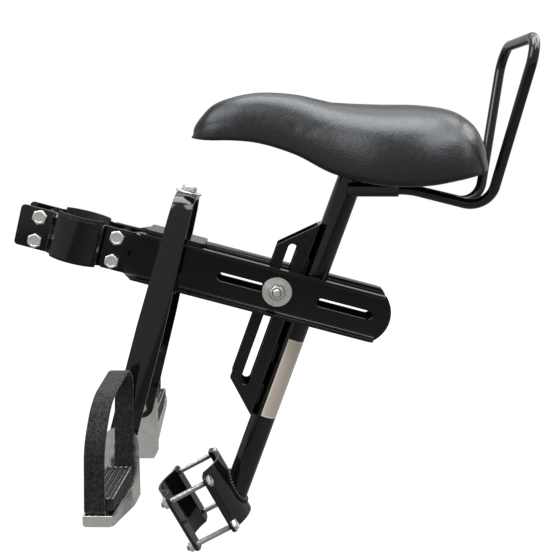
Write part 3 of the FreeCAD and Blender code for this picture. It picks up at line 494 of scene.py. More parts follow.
def rounded_loop(points, radii, step):
    """Closed path of straight runs and tangent arcs, as evenly spaced points, and its length.

    At each corner an arc of the given radius touches both runs; the whole is then spaced by length.
    """
    points = np.asarray(points, float)
    back = unit(np.roll(points, 1, 0) - points)
    ahead = unit(np.roll(points, -1, 0) - points)
    half = np.arccos(np.clip((back * ahead).sum(1), -1, 1)) / 2
    middle = points + unit(back + ahead) * (radii / np.sin(half))[:, None]
    sweep = np.linspace(-1, 1, ARC_POINTS)[None, :, None] * (math.pi / 2 - half)[:, None, None]
    spoke = -unit(back + ahead)[:, None, :]
    flank = unit(ahead - back)[:, None, :]
    arcs = middle[:, None, :] + radii[:, None, None] * (spoke * np.cos(sweep) + flank * np.sin(sweep))
    line = arcs.reshape(-1, points.shape[1])
    line = np.vstack([line, line[:1]])
    run = distance_along(line)
    count = int(round(run[-1] / step))
    at = np.arange(count) * run[-1] / count
    return np.stack([np.interp(at, run, line[:, i]) for i in range(line.shape[1])], 1), run[-1]


def carry(path, side, profile, joined=True):
    """Rings of a profile carried along a path, which shrink to a round tip at each end of an open one.

    The profile's first coordinate follows the side direction, its second the path's normal, which is the
    path's direction crossed with the side.
    """
    if joined:
        onward = np.roll(path, -1, 0) - np.roll(path, 1, 0)
    else:
        onward = np.gradient(path, axis=0)
        end = np.abs(np.linspace(-1, 1, len(path)))
        profile = profile * np.sqrt(np.clip(1 - end ** BEAD_TIP_POWER, BEAD_TIP_LEAST, 1))[:, None, None]
    side = unit(np.broadcast_to(side, path.shape))
    normal = unit(np.cross(unit(onward), side))
    return path[:, None] + side[:, None] * profile[:, :, :1] + normal[:, None] * profile[:, :, 1:]


def rounded_flat(width, thick):
    """Outline of a flat band: a superellipse that is nearly a rectangle with soft edges."""
    angle = full_turn(BAND_COLUMNS)
    across = signed_power(np.cos(angle), BAND_EDGE_POWER)
    upward = signed_power(np.sin(angle), BAND_FACE_POWER)
    return np.stack([across * width / 2, upward * thick / 2], -1)


def islands(points, axis, gap):
    """Points sorted into solids that stand more than a gap apart across an axis."""
    keys = np.zeros(len(points), int)
    for direction in crosswise(axis):
        along = points @ direction
        order = np.argsort(along)
        label = np.empty(len(points), int)
        label[order] = np.concatenate(([0], np.cumsum(np.diff(along[order]) > gap)))
        keys = keys * len(points) + label
    return [points[keys == key] for key in np.unique(keys)]


def about_axis(points, axis):
    """Middle of a solid across an axis, and its points' distances from there and levels along the axis."""
    side, up = crosswise(axis)
    spread = np.stack([points @ side, points @ up], 1)
    centre = (spread.min(0) + spread.max(0)) / 2
    return side * centre[0] + up * centre[1], np.linalg.norm(spread - centre, axis=1), points @ axis


def hex_seat(points, axis, is_nut):
    """Where a hex solid of the frame seats: seat place, direction away from the head or seat, length, size.

    The corners of the hexagon are the points furthest from the solid's axis.
    """
    middle, reach, level = about_axis(points, axis)
    corner = level[reach > CORNER_SHARE * reach.max()]
    if is_nut:
        turn = 1 if corner.min() - level.min() < level.max() - corner.max() else -1
        seat = (turn * corner).min()
    else:
        turn = 1 if corner.mean() < (level.min() + level.max()) / 2 else -1
        seat = (turn * corner).max()
    length = (turn * level).max() - seat
    size = M8 if reach.max() * math.sqrt(3) > LARGE_FLATS_MM * MM else M6
    return middle + axis * turn * seat, axis * turn, length, size


def turned_rings(place, axis, radius, height, spin=0.0):
    """Rings round an axis from arrays of radius and height in mm, with a column for each angle."""
    side, up = crosswise(axis)
    angle = full_turn(radius.shape[1])[None, :, None] + spin
    radial = side * np.cos(angle) + up * np.sin(angle)
    return place + radial * (radius * MM)[:, :, None] + axis * (height * MM)[:, :, None]


HEX_ANGLE = full_turn(HEX_COLUMNS)


def hex_rows(*points):
    """Radius and height arrays of a section's points, each a number or one value for each angle."""
    return [np.array([point[i] + 0 * HEX_ANGLE for point in points]) for i in range(2)]


def hex_flank(size):
    """Radius of a hexagon at each angle, radius of its chamfer's circle, and the chamfer's fall, in mm."""
    flat = size["flats"] / 2
    corner = flat / np.cos((HEX_ANGLE + math.pi / 6) % (math.pi / 3) - math.pi / 6)
    return corner, CHAMFER_SHARE * flat, (corner - CHAMFER_SHARE * flat) * math.tan(CHAMFER_ANGLE)


def thread_rows(size, start, end):
    """Radius and height of a screw thread: a triangle wave that climbs one pitch each turn, in mm."""
    pitch = size["pitch"]
    height = np.arange(start, end, pitch / THREAD_ROWS)[:, None] + 0 * HEX_ANGLE
    phase = (height / pitch - HEX_ANGLE / (2 * math.pi)) % 1
    depth = THREAD_DEPTH * pitch * np.abs(2 * phase - 1)
    fade = np.clip((end - height) / pitch, THREAD_FADE, 1)
    return size["d"] / 2 - depth * fade - THREAD_CLEAR_MM - FADE_DEPTH * pitch * (1 - fade), height


def hex_bolt(place, axis, length, size, spin):
    """Hex bolt: a section of dished head, chamfered corners, shank and thread, turned round its axis."""
    corner, flat, fall = hex_flank(size)
    head, shank, end = -size["head"], size["d"] / 2, length / MM
    begin = max(end - size["thread"], SHANK_LEAST_MM)
    tip = shank - TIP_DEPTH * size["pitch"]
    sections = (
        hex_rows(*[(share * flat, head + depth) for share, depth in DISH], (flat, head),
                 (corner - KNEE_MM, head + fall - KNEE_MM / 2), (corner, head + fall + KNEE_MM),
                 (corner, -BOLT_EDGE_MM[1]), (corner - BOLT_EDGE_MM[0], 0), (shank, 0),
                 (shank, begin - SHANK_RELIEF_MM)),
        thread_rows(size, begin, end - THREAD_END_MM),
        hex_rows((tip, end), (TIP_FLAT * tip, end)),
    )
    radius, height = (np.vstack(part) for part in zip(*sections))
    return skin_over(turned_rings(place, axis, radius, height, spin))


def hex_nut(place, axis, length, size, spin):
    """Hex nut: a closed section of seat, chamfered flank, countersunk top and bore, turned into a ring."""
    corner, flat, fall = hex_flank(size)
    top = length / MM
    bore = size["d"] / 2 + BORE_CLEAR_MM
    mouth = bore + COUNTERSINK_MM
    radius, height = hex_rows(
        (corner - NUT_EDGE_MM, 0), (corner, NUT_EDGE_MM), (corner, top - fall - KNEE_MM),
        (corner - KNEE_MM, top - fall + KNEE_MM / 2), (flat, top), (mouth, top),
        (bore, top - COUNTERSINK_MM), (bore, COUNTERSINK_MM), (mouth, 0))
    return skin_over(turned_rings(place, axis, radius, height, spin), joined=True)


def turned_washer(place, axis, outer, inner, sheet):
    """Washer with turned rings on its face: a shallow cosine of the radius between two broken edges."""
    face = np.linspace(outer - FACE_EDGE_MM, inner + FACE_EDGE_MM, WASHER_ROWS)
    wave = np.cos(2 * math.pi * (outer - FACE_EDGE_MM - face) / TURNED_PITCH_MM)
    ridge = sheet - TURNED_DEPTH_MM / 2 * (1 - wave)
    radius = np.concatenate([[outer - WASHER_EDGE_MM, outer, outer], face, [inner, inner]])
    height = np.concatenate([[0, WASHER_EDGE_MM, sheet - FACE_EDGE_MM], ridge, [sheet - WASHER_EDGE_MM, 0]])
    columns = np.ones(WASHER_COLUMNS)
    rings = turned_rings(place, axis, radius[:, None] * columns, height[:, None] * columns)
    return skin_over(rings, joined=True)


def weld_bead(path, side, size, ripple, joined):
    """Weld bead: a circle carried along a seam, its radius rippled by a sine of the distance along it."""
    swell = 1 + BEAD_RIPPLE * np.sin(2 * math.pi * distance_along(path) / ripple)
    angle = full_turn(BEAD_COLUMNS)
    circle = np.stack([np.cos(angle), np.sin(angle)], -1)[None] * (size * swell)[:, None, None]
    return skin_over(carry(path, side, circle, joined), joined=joined)


def post_size():
    """Radius of the post and the place of its axis beside the main bolt."""
    points = node_points("seat_post") - MAIN_BOLT
    behind = points @ BEHIND_POST
    return np.abs(points[:, 1]).max(), MAIN_BOLT + BEHIND_POST * (behind.min() + behind.max()) / 2


def post_wall(clear, count):
    """Points round the post, in a circle beside the main bolt that stands clear of its wall."""
    radius, axis = post_size()
    angle = full_turn(count)[:, None]
    return axis + (BEHIND_POST * np.cos(angle) + ACROSS * np.sin(angle)) * (radius + clear)


# Finishes

def node_adder(owner):
    """Empty the node tree of a material or a world, and give the function that adds its nodes."""
    owner.use_nodes = True
    tree = owner.node_tree
    tree.nodes.clear()

    def add(kind, links=None, **settings):
        """Add a shader node: settings are its own values, links its input sockets.

        A link is a value, another node's output, or a node, which stands for its first output.
        """
        node = tree.nodes.new("ShaderNode" + kind)
        for key, value in settings.items():
            setattr(node, key, value)
        for key, value in (links or {}).items():
            if isinstance(value, bpy.types.Node):
                value = value.outputs[0]
            if isinstance(value, bpy.types.NodeSocket):
                tree.links.new(value, node.inputs[key])
            else:
                node.inputs[key].default_value = value
        return node
    return add


def new_finish(name):
    """Empty material, the function that adds its nodes, and its Object coordinates."""
    material = bpy.data.materials.new(name)
    add = node_adder(material)
    return material, add, add("TexCoord").outputs["Object"]


def per_metre(size_mm):
    """Texture scale whose pattern repeats about once in a size in mm."""
    return 1 / (size_mm * MM)


# Each finish returns the sockets of its Principled surface. Most of a noise lies in the middle range.
MIDDLE = {"From Min": 0.3, "From Max": 0.7}


def stove_enamel(add, place, settings):
    """Black stove enamel on steel: a deep gloss with slight orange peel and uneven gloss from handling."""
    peel = add("TexNoise", {"Vector": place, "Scale": per_metre(2.5), "Detail": 2.0})
    cloud = add("TexNoise", {"Vector": place, "Scale": per_metre(35), "Detail": 5.0})
    gloss = add("MapRange", {"Value": cloud, **MIDDLE, "To Min": 0.06, "To Max": 0.14})
    bump = add("Bump", {"Height": peel, "Strength": 0.12, "Distance": 0.1 * MM})
    return {"Base Color": settings.enamel, "Roughness": gloss, "Specular IOR Level": 0.45, "Normal": bump}


def bright_zinc(add, place, settings):
    """Bright zinc plate on steel: a neutral silver, softly clouded, with painted shade where faces meet."""
    cloud = add("TexNoise", {"Vector": place, "Scale": per_metre(3.5), "Detail": 6.0})
    tone = add("Mix", {0: cloud, 6: settings.zinc, 7: hex_colour("d2d2cc")}, data_type="RGBA")
    # Painted shade: ambient occlusion darkens the zinc towards dark brown-grey where faces stand close
    # together.
    corner = add("AmbientOcclusion", {"Distance": 3.0 * MM}, samples=8)
    unshaded = add("MapRange", {"Value": corner.outputs["AO"], "From Min": 0.35, "From Max": 0.9})
    tone = add("Mix", {0: unshaded, 6: hex_colour("35342f"), 7: tone.outputs[2]}, data_type="RGBA")
    gloss = add("MapRange", {"Value": cloud, **MIDDLE, "To Min": 0.3, "To Max": 0.48})
    bump = add("Bump", {"Height": cloud, "Strength": 0.3, "Distance": 0.1 * MM})
    return {"Base Color": tone.outputs[2], "Metallic": 1.0, "Roughness": gloss, "Normal": bump}


def chrome_plate(add, place, settings):
    """Chrome plate on pressed steel: a mirror with faint polishing streaks and a few dull patches."""
    stretch = add("Mapping", {"Vector": place, "Scale": (1.0, 0.2, 1.0)})
    streak = add("TexNoise", {"Vector": stretch, "Scale": per_metre(7.0), "Detail": 1.0})
    gloss = add("MapRange", {"Value": streak, **MIDDLE, "To Min": 0.14, "To Max": 0.4})
    tone = add("Mix", {0: streak, 6: settings.chrome, 7: hex_colour("e4e2dc")}, data_type="RGBA")
    return {"Base Color": tone.outputs[2], "Metallic": 1.0, "Roughness": gloss}


def grained_leatherette(add, place, settings):
    """Vinyl skin embossed with a leather grain: soft gloss on the pebbles, dull in the creases.

    The grain is drawn at twice its real size so that it shows.
    """
    warp = add("TexNoise", {"Vector": place, "Scale": per_metre(9.0), "Detail": 2.0})
    shift = add("VectorMath", {0: warp.outputs["Color"], "Scale": 2.5 * MM}, operation="SCALE")
    bent = add("VectorMath", {0: place, 1: shift}, operation="ADD")
    pebble = add("TexVoronoi", {"Vector": bent, "Scale": per_metre(2.0)}, feature="SMOOTH_F1")
    crease = add("TexNoise", {"Vector": place, "Scale": per_metre(5.0), "Detail": 6.0, "Roughness": 0.65})
    height = add("Math", {0: pebble, 1: -0.7, 2: crease}, operation="MULTIPLY_ADD")
    gloss = add("MapRange", {"Value": crease, **MIDDLE, "To Min": 0.27, "To Max": 0.37})
    bump = add("Bump", {"Height": height, "Strength": 0.22, "Distance": 0.5 * MM})
    return {"Base Color": settings.leatherette, "Roughness": gloss, "Specular IOR Level": 0.5,
            "Specular Tint": hex_colour("f1f7ff"), "Normal": bump}


def napped_felt(add, place, settings):
    """Needled felt: matt charcoal fibres, lighter where the nap stands up, with a soft sheen.

    The fibres are drawn several times coarser than real ones so that they show.
    """
    fibre = add("TexNoise", {"Vector": place, "Scale": per_metre(0.9), "Detail": 4.0, "Distortion": 1.5})
    tuft = add("TexNoise", {"Vector": place, "Scale": per_metre(2.1), "Detail": 3.0})
    mixed = add("Math", {0: fibre, 1: 0.6, 2: tuft}, operation="MULTIPLY_ADD")
    share = add("MapRange", {"Value": mixed, "From Min": 0.66, "From Max": 0.98})
    tone = add("Mix", {0: share, 6: hex_colour("0e0e0f"), 7: settings.felt}, data_type="RGBA")
    bump = add("Bump", {"Height": mixed, "Strength": 0.7, "Distance": 0.5 * MM})
    return {"Base Color": tone.outputs[2], "Roughness": 0.95, "Sheen Weight": 0.25,
            "Specular IOR Level": 0.2, "Normal": bump}


def moulded_rubber(add, place, settings):
    """Moulded rubber: nearly matt black, bloomed in places, with its grit drawn coarse so that it shows."""
    bloom = add("TexNoise", {"Vector": place, "Scale": per_metre(12), "Detail": 6.0})
    tone = add("Mix", {0: bloom, 6: settings.rubber, 7: hex_colour("161617")}, data_type="RGBA")
    grit = add("TexNoise", {"Vector": place, "Scale": per_metre(0.8), "Detail": 2.0})
    bump = add("Bump", {"Height": grit, "Strength": 0.3, "Distance": 0.15 * MM})
    return {"Base Color": tone.outputs[2], "Roughness": 0.62, "Normal": bump}


def ribbed_rubber(add, place, settings):
    """Rubber of the footrest pads: black ribs, with a pale painted highlight in the grooves between them.

    The grooves lie where the distance across the pad is a whole number of ribs.
    """
    low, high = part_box("footrest_pad_left")
    pitch = (high[0] - low[0]) / PAD_RIBS
    across = add("SeparateXYZ", {0: place})
    ribs = add("MapRange", {"Value": across.outputs["X"], "From Min": low[0], "From Max": low[0] + pitch},
               clamp=False)
    groove = add("Math", {0: ribs, 1: 0.5}, operation="PINGPONG")
    line = add("MapRange", {"Value": groove, "From Min": 0.2, "From Max": 0.26,
                            "To Min": 1.0, "To Max": 0.0})
    facing = add("SeparateXYZ", {0: add("NewGeometry").outputs["Normal"]})
    level = add("MapRange", {"Value": facing.outputs["Z"], "From Min": 0.5, "From Max": 0.7})
    grit = add("TexNoise", {"Vector": place, "Scale": per_metre(2.5), "Detail": 4.0})
    patchy = add("MapRange", {"Value": grit, "From Min": 0.2, "From Max": 0.6})
    # Painted highlight: pale grey on the upward-facing floors of the grooves, broken up by noise.
    groove_highlight = add("Math", {0: line, 1: level}, operation="MULTIPLY")
    groove_highlight = add("Math", {0: groove_highlight, 1: patchy}, operation="MULTIPLY")
    tone = add("Mix", {0: groove_highlight, 6: settings.rubber, 7: hex_colour("8f908b")}, data_type="RGBA")
    bump = add("Bump", {"Height": grit, "Strength": 0.3, "Distance": 0.15 * MM})
    return {"Base Color": tone.outputs[2], "Roughness": 0.62, "Normal": bump}


def moulded_plastic(add, place, settings):
    """Moulded polypropylene: black with a spark-eroded texture, drawn coarse so that it shows."""
    grit = add("TexNoise", {"Vector": place, "Scale": per_metre(1.1), "Detail": 3.0})
    gloss = add("MapRange", {"Value": grit, **MIDDLE, "To Min": 0.42, "To Max": 0.6})
    bump = add("Bump", {"Height": grit, "Strength": 0.3, "Distance": 0.2 * MM})
    return {"Base Color": settings.plastic, "Roughness": gloss, "Normal": bump}


def plain_vinyl(add, place, settings):
    """Vinyl decal without print: a satin grey panel inside a cream margin, a little scuffed."""
    scuff = add("TexNoise", {"Vector": place, "Scale": per_metre(6), "Detail": 6.0})
    inset = add("Attribute", attribute_name="inset")
    panel = add("MapRange", {"Value": inset.outputs["Fac"], "From Min": 1.6 * MM, "From Max": 2.0 * MM,
                             "To Max": 0.75})
    worn = add("Math", {0: scuff, 1: 0.4, 2: panel}, operation="MULTIPLY_ADD", use_clamp=True)
    tone = add("Mix", {0: worn, 6: settings.vinyl, 7: hex_colour("d6cabb")}, data_type="RGBA")
    gloss = add("MapRange", {"Value": scuff, "To Min": 0.25, "To Max": 0.5})
    return {"Base Color": tone.outputs[2], "Roughness": gloss}


FINISHES = {
    "black_paint": ("black stove enamel", stove_enamel),
    "zinc_plate": ("bright zinc plate", bright_zinc),
    "chrome": ("chrome plate", chrome_plate),
    "rubber": ("moulded rubber", moulded_rubber),
    "ribbed_rubber": ("ribbed rubber", ribbed_rubber),
    "pan_plastic": ("moulded polypropylene", moulded_plastic),
    "leatherette": ("grained leatherette", grained_leatherette),
    "strap_felt": ("napped felt", napped_felt),
    "decal": ("plain vinyl decal", plain_vinyl),
}
OWN_FINISH = {"footrest_pad_left": "ribbed_rubber", "footrest_pad_right": "ribbed_rubber"}
made_finishes = {}


def finish_of(slot):
    """The one material of a slot, made when it is first asked for."""
    if slot not in made_finishes:
        name, sockets_of = FINISHES[slot]
        material, add, place = new_finish(name)
        shader = add("BsdfPrincipled", sockets_of(add, place, bpy.context.scene.saddle_finish))
        add("OutputMaterial", {"Surface": shader})
        made_finishes[slot] = material
    return made_finishes[slot]


# Operators

class SADDLE_OT_stage(bpy.types.Operator):
    """Pale floor, white surroundings, soft lamps and the camera."""
    bl_idname = "child_saddle.stage"
    bl_label = "Stage"
    # Shares of their white that the floor and the world show in mirrors, and that the world lights with
    floor_mirrored = 0.08
    world_mirrored = 0.16
    world_fill = 0.45
    sensor_mm = 36.0

    def execute(self, context):
        settings = context.scene.saddle_stage
        context.scene.view_settings.view_transform = "Standard"
        self.floor(settings)
        self.surroundings(context.scene)
        for name, lamp in LAMPS.items():
            self.lamp(name, settings, *lamp)
        self.camera(context.scene, settings)
        return {"FINISHED"}

    def seen_white(self, add, mirrored):
        """1 for rays from the camera and through glass, and a share of it for rays from mirrors."""
        path = add("LightPath").outputs
        direct = add("Math", {0: path["Is Camera Ray"], 1: path["Is Transmission Ray"]}, operation="MAXIMUM")
        return add("Math", {0: path["Is Glossy Ray"], 1: mirrored, 2: direct}, operation="MULTIPLY_ADD")

    def floor(self, settings):
        """Flat square below the object that brightens to white away from it and is clear from below."""
        reach = settings.floor_reach
        level = CAD_BOX[0].z - settings.floor_drop
        corners = [(x * reach, y * reach, level) for x, y in ((-1, -1), (1, -1), (1, 1), (-1, 1))]
        mesh = bpy.data.meshes.new("floor")
        mesh.from_pydata(corners, [], [(0, 1, 2, 3)])
        floor = new_object("floor", mesh)
        material, add, place = new_finish("pale floor")
        spread = add("VectorMath", {0: place, 1: (1.0, 1.0, 0.0)}, operation="MULTIPLY")
        away = add("VectorMath", {0: spread}, operation="LENGTH")
        lift = add("MapRange", {"Value": away.outputs["Value"], "From Min": 0.4, "From Max": 1.4,
                                "To Min": 0.84, "To Max": 1.0})
        glow = add("Math", {0: lift, 1: self.seen_white(add, self.floor_mirrored)}, operation="MULTIPLY")
        paint = add("BsdfDiffuse", {"Color": hex_colour("6f6f6d")})
        white = add("Emission", {"Strength": glow})
        both = add("AddShader", {0: paint, 1: white})
        below = add("NewGeometry").outputs["Backfacing"]
        clear = add("BsdfTransparent")
        shown = add("MixShader", {0: below, 1: both, 2: clear})
        add("OutputMaterial", {"Surface": shown})
        mesh.materials.append(material)

    def surroundings(self, scene):
        """White world for what is seen, and a softer fill for what it lights."""
        scene.world = bpy.data.worlds.new("studio")
        add = node_adder(scene.world)
        seen = self.seen_white(add, self.world_mirrored)
        strength = add("MapRange", {"Value": seen, "To Min": self.world_fill})
        light = add("Background", {"Color": (1, 1, 1, 1), "Strength": strength})
        add("OutputWorld", {"Surface": light})

    def lamp(self, name, settings, azimuth, elevation, size, power):
        """Rectangular area lamp that faces the saddle from an azimuth and an elevation in degrees."""
        turn, rise = math.radians(azimuth), math.radians(elevation)
        away = Vector((math.cos(rise) * math.sin(turn), -math.cos(rise) * math.cos(turn), math.sin(rise)))
        lamp = bpy.data.lights.new(name, "AREA")
        lamp.shape = "RECTANGLE"
        lamp.size, lamp.size_y = size
        lamp.energy = power
        holder = new_object(name, lamp)
        holder.location = Vector(settings.lamp_target) + away * settings.lamp_distance
        holder.rotation_euler = away.to_track_quat("Z", "Y").to_euler()

    def camera(self, scene, settings):
        """Camera at the photograph's angle."""
        data = bpy.data.cameras.new("camera")
        data.lens = settings.camera_lens
        data.sensor_width = self.sensor_mm
        data.sensor_fit = "HORIZONTAL"
        camera = new_object("camera", data)
        camera.location = settings.camera_place
        camera.rotation_euler = (settings.camera_tilt, 0.0, settings.camera_turn)
        scene.camera = camera


class SADDLE_OT_skin(bpy.types.Operator):
    """Padded leatherette skin of the saddle."""
    bl_idname = "child_saddle.skin"
    bl_label = "Saddle skin"

    def execute(self, context):
        rings, free = saddle_rings()
        piece = add_piece("saddle_skin", [skin_over(rings)], "leatherette", "saddle_cover", ["saddle_cover"],
                          sharp=60.0)
        swell_skin(piece, np.concatenate([free.ravel(), (0.0, 0.0)]), context.scene.saddle_skin)
        rounding = piece.modifiers.new("rounding", "SUBSURF")
        rounding.levels = rounding.render_levels = 1
        return {"FINISHED"}


class SADDLE_OT_straps(bpy.types.Operator):
    """Felt loop over each footrest."""
    bl_idname = "child_saddle.straps"
    bl_label = "Foot straps"
    # Spacing of the loop's rings, and the reach of the strap's ends on the tray
    step = 2.0 * MM
    end_reach = 8 * MM

    def execute(self, context):
        settings = context.scene.saddle_strap
        for hand, side in (("left", -1), ("right", 1)):
            node = "foot_strap_" + hand
            path, width, length = self.loop(node, side, settings)
            profile = np.broadcast_to(rounded_flat(width, settings.sheet), (len(path), BAND_COLUMNS, 2))
            skin = skin_over(carry(path, (-side, 0, 0), profile), joined=True)
            piece = add_piece("felt_strap_" + hand, [skin], "strap_felt", node, [node], sharp=60.0)
        return {"FINISHED"}

    def loop(self, node, side, settings):
        """Middle line of a strap round the foot, its width and its length.

        The line lies across the saddle. It moves to the rear in proportion to its height, and forwards
        in proportion to its distance along the tray.
        """
        low, high = (np.array(corner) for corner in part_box(node))
        near, far = sorted((abs(low[1]), abs(high[1])))
        points = node_points(node)
        reach = np.abs(points[:, 1])
        half = settings.sheet / 2
        near, far = near + half, far - half
        floor_near = points[reach < near + self.end_reach, 2].min() + half
        floor_far = points[reach > far - self.end_reach, 2].min() + half
        inner = np.array(STRAP_INNER_MM) * MM
        outer = np.array(STRAP_OUTER_MM) * MM
        corners = np.vstack([inner[:, :2] + (near, floor_near), outer[:, :2] * (-1, 1) + (far, floor_far)])
        line, length = rounded_loop(corners, np.concatenate([inner[:, 2], outer[:, 2]]), self.step)
        along = (line[:, 0] - near) / (far - near)
        height = (line[:, 1] - floor_near) / (high[2] - floor_near)
        middle = (low[0] + high[0]) / 2 + settings.skew * (1 - 2 * along) + settings.lean * height
        return np.stack([middle, side * line[:, 0], line[:, 1]], 1), high[0] - low[0], length


class SADDLE_OT_fasteners(bpy.types.Operator):
    """Hex bolts, nuts and washers with chamfers, threads and turned faces."""
    bl_idname = "child_saddle.fasteners"
    bl_label = "Fasteners"
    # Gap between a node's solids, and the turn in radians of its first hexagon and of each next one
    gap = 6.0 * MM
    spins = {"bolt": (0.4, 1.9), "nut": (0.2, 1.3)}

    def execute(self, context):
        for kind, turned in (("bolt", hex_bolt), ("nut", hex_nut)):
            first, following = self.spins[kind]
            for bolts, axis in BOLT_AXES.items():
                node = bolts.replace("bolt", kind)
                solids = islands(node_points(node), axis, self.gap)
                skins = [turned(*hex_seat(solid, axis, kind == "nut"), first + following * index)
                         for index, solid in enumerate(solids)]
                add_piece(node + "_turned", skins, "zinc_plate", node, [node])
        points = node_points("main_washers")
        pair = [self.washer(points[points[:, 1] * side > 0], side * ACROSS) for side in (-1, 1)]
        single = [self.washer(node_points("yoke_washer"), BEAM_UP)]
        for node, skins in (("main_washers", pair), ("yoke_washer", single)):
            add_piece(node + "_turned", skins, "zinc_plate", node, [node])
        return {"FINISHED"}

    def washer(self, points, axis):
        """Turned washer in the place of a plain ring of the frame."""
        middle, reach, level = about_axis(points, axis)
        place = middle + axis * level.min()
        return turned_washer(place, axis, reach.max() / MM, reach.min() / MM, np.ptp(level) / MM)


class SADDLE_OT_welds(bpy.types.Operator):
    """Painted weld beads where the post meets its bracket, foot and plate."""
    bl_idname = "child_saddle.welds"
    bl_label = "Weld beads"
    # Stitches on the bracket: length, spacing, distance from its ends, side of its middle, sunk in the post
    stitch = 22 * MM
    spacing = 46 * MM
    end_space = 12 * MM
    aside = 6.6 * MM
    sunk = 1.0 * MM
    # Radius and ripple of each seam's bead, and how far the closed ones stand clear of the faces
    stitch_bead = (1.9 * MM, 2.4 * MM)
    foot_bead = (2.4 * MM, 3.0 * MM)
    plate_bead = (1.9 * MM, 2.6 * MM)
    foot_clear = 0.4 * MM
    plate_clear = 0.3 * MM
    # Rows of each bead
    stitch_rows = 60
    foot_rows = 200
    plate_rows = 160

    def execute(self, context):
        skins = self.bracket_seams() + [self.foot_seam(), self.plate_seam()]
        add_piece("post_welds", skins, "black_paint", "seat_post", sharp=180.0)
        return {"FINISHED"}

    def bracket_seams(self):
        """Stitches along both sides of the line where the round post lies on the bracket's flat back."""
        radius, axis = post_size()
        levels = (node_points("slotted_bracket") - MAIN_BOLT) @ ALONG_POST
        starts = np.arange(levels.min() + self.end_space, levels.max() - self.stitch - self.end_space,
                           self.spacing)
        run = np.linspace(0, self.stitch, self.stitch_rows)[:, None]
        beads = []
        for side in (-1, 1):
            edge = axis - BEHIND_POST * (radius - self.sunk) + ACROSS * side * self.aside
            for start in starts:
                path = edge + ALONG_POST * (start + run)
                beads.append(weld_bead(path, BEHIND_POST, *self.stitch_bead, False))
        return beads

    def foot_seam(self):
        """Closed bead where the post's cylinder meets the crest of the clamp's cylinder.

        Along each line of the post, the distance to the clamp's axis is the crest radius: a quadratic.
        """
        crest = ((node_points("tube_clamp_upper") - TUBE_AT) @ TUBE_OUT).max()
        wall = post_wall(self.foot_clear, self.foot_rows)
        away = wall - TUBE_AT
        away = away - (away @ TUBE_AXIS)[:, None] * TUBE_AXIS
        slide = ALONG_POST - (ALONG_POST @ TUBE_AXIS) * TUBE_AXIS
        a, b = slide @ slide, away @ slide
        c = (away * away).sum(1) - (crest + self.foot_clear) ** 2
        run = (-b + np.sqrt(b * b - a * c)) / a
        return weld_bead(wall + ALONG_POST * run[:, None], away, *self.foot_bead, True)

    def plate_seam(self):
        """Closed bead where the post's cylinder meets the plane of the seat plate."""
        points = node_points("seat_plate")
        normal = np.linalg.svd(points - points.mean(0), full_matrices=False)[2][2]
        normal = normal * np.sign(normal[2])
        below = (points @ normal).min()
        wall = post_wall(self.plate_clear, self.plate_rows)
        run = (below - self.plate_clear - wall @ normal) / (ALONG_POST @ normal)
        return weld_bead(wall + ALONG_POST * run[:, None], normal, *self.plate_bead, True)


class SADDLE_OT_decal(bpy.types.Operator):
    """Blank vinyl decal round the near side of the post."""
    bl_idname = "child_saddle.decal"
    bl_label = "Blank decal"
    sheet = 0.2 * MM
    lift = 0.1 * MM
    columns = 25
    rows = 60

    def execute(self, context):
        settings = context.scene.saddle_decal
        radius, axis = post_size()
        around = np.linspace(0.5, -0.5, self.columns)
        down = np.linspace(0, 1, self.rows)
        angle = settings.turn + around * settings.spread
        out = BEHIND_POST * np.sin(angle)[:, None] - ACROSS * np.cos(angle)[:, None]
        line = axis - ALONG_POST * (settings.start + down * settings.length)[:, None]
        under = line[:, None] + out * (radius + self.lift)
        top = under + out * self.sheet
        piece = add_piece("post_decal", [slab(top, under)], "decal", "seat_post")
        from_side = radius * settings.spread * (0.5 - np.abs(around))
        from_end = settings.length * (0.5 - np.abs(down - 0.5))
        inset = np.minimum(from_side[None, :], from_end[:, None]).ravel()
        margin = piece.data.attributes.new("inset", "FLOAT", "POINT")
        margin.data.foreach_set("value", np.tile(inset, 2).astype(np.float32))
        return {"FINISHED"}


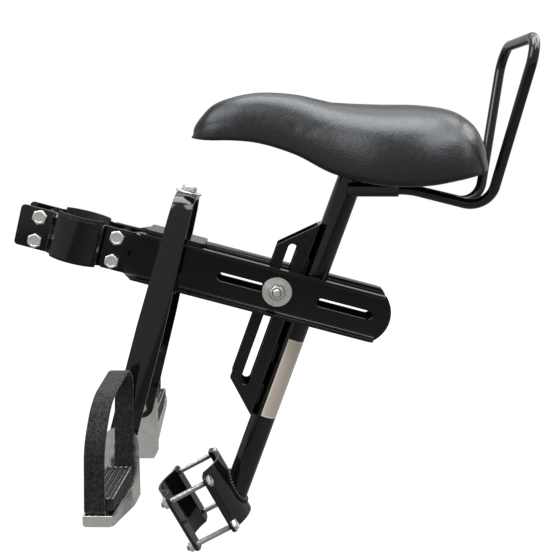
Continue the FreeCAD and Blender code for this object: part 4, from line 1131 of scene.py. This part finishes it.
class SADDLE_OT_finishes(bpy.types.Operator):
    """Finish of every piece that keeps the frame's shape, with its edges broken."""
    bl_idname = "child_saddle.finishes"
    bl_label = "Finishes"
    # Corners this close are joined; edges below one angle are dissolved, and above the other broken
    same_place = 0.01 * MM
    flat_angle = math.radians(0.5)
    edge_angle = math.radians(48)

    def execute(self, context):
        for name, node in frame["nodes"].items():
            if node.hide_render:
                continue
            node.data.materials.clear()
            node.data.materials.append(finish_of(OWN_FINISH.get(name, SLOT_OF[name])))
            node.data.polygons.foreach_set("use_smooth", np.ones(len(node.data.polygons), bool))
            weld = node.modifiers.new("joined faces", "WELD")
            weld.merge_threshold = self.same_place
            flat = node.modifiers.new("whole flats", "DECIMATE")
            flat.decimate_type = "DISSOLVE"
            flat.angle_limit = self.flat_angle
            bevel = node.modifiers.new("broken edges", "BEVEL")
            bevel.width = context.scene.saddle_finish.edge
            bevel.segments = 2
            bevel.limit_method = "ANGLE"
            bevel.angle_limit = self.edge_angle
            bevel.offset_type = "ABSOLUTE"
            bevel.use_clamp_overlap = False
            even = node.modifiers.new("even shading", "WEIGHTED_NORMAL")
            even.keep_sharp = True
        return {"FINISHED"}


class SADDLE_PT_panel(bpy.types.Panel):
    """Steps that dress the child saddle."""
    bl_label = "Child saddle"
    bl_idname = "SADDLE_PT_panel"
    bl_space_type = "VIEW_3D"
    bl_region_type = "UI"
    bl_category = "Child saddle"

    def draw(self, context):
        for step in STEPS:
            self.layout.operator(step.bl_idname)
        for group in GROUPS:
            settings = getattr(context.scene, group)
            for key in settings.bl_rna.properties.keys():
                if key not in ("rna_type", "name"):
                    self.layout.prop(settings, key)


GROUPS = {
    "saddle_stage": StageSettings,
    "saddle_skin": SaddleSettings,
    "saddle_strap": StrapSettings,
    "saddle_decal": DecalSettings,
    "saddle_finish": FinishSettings,
}
STEPS = (SADDLE_OT_stage, SADDLE_OT_skin, SADDLE_OT_straps, SADDLE_OT_fasteners, SADDLE_OT_welds,
         SADDLE_OT_decal, SADDLE_OT_finishes)
CLASSES = tuple(GROUPS.values()) + STEPS + (SADDLE_PT_panel,)


def register():
    """Add the classes and hang the settings on the scene."""
    for item in CLASSES:
        bpy.utils.register_class(item)
    for name, group in GROUPS.items():
        setattr(bpy.types.Scene, name, PointerProperty(type=group))


def unregister():
    """Take the settings and the classes away again."""
    for name in GROUPS:
        delattr(bpy.types.Scene, name)
    for item in reversed(CLASSES):
        bpy.utils.unregister_class(item)


def main():
    """Dress the frame step by step."""
    register()
    for step in STEPS:
        getattr(bpy.ops.child_saddle, step.bl_idname.split(".")[1])()


if __name__ == "__main__":
    main()
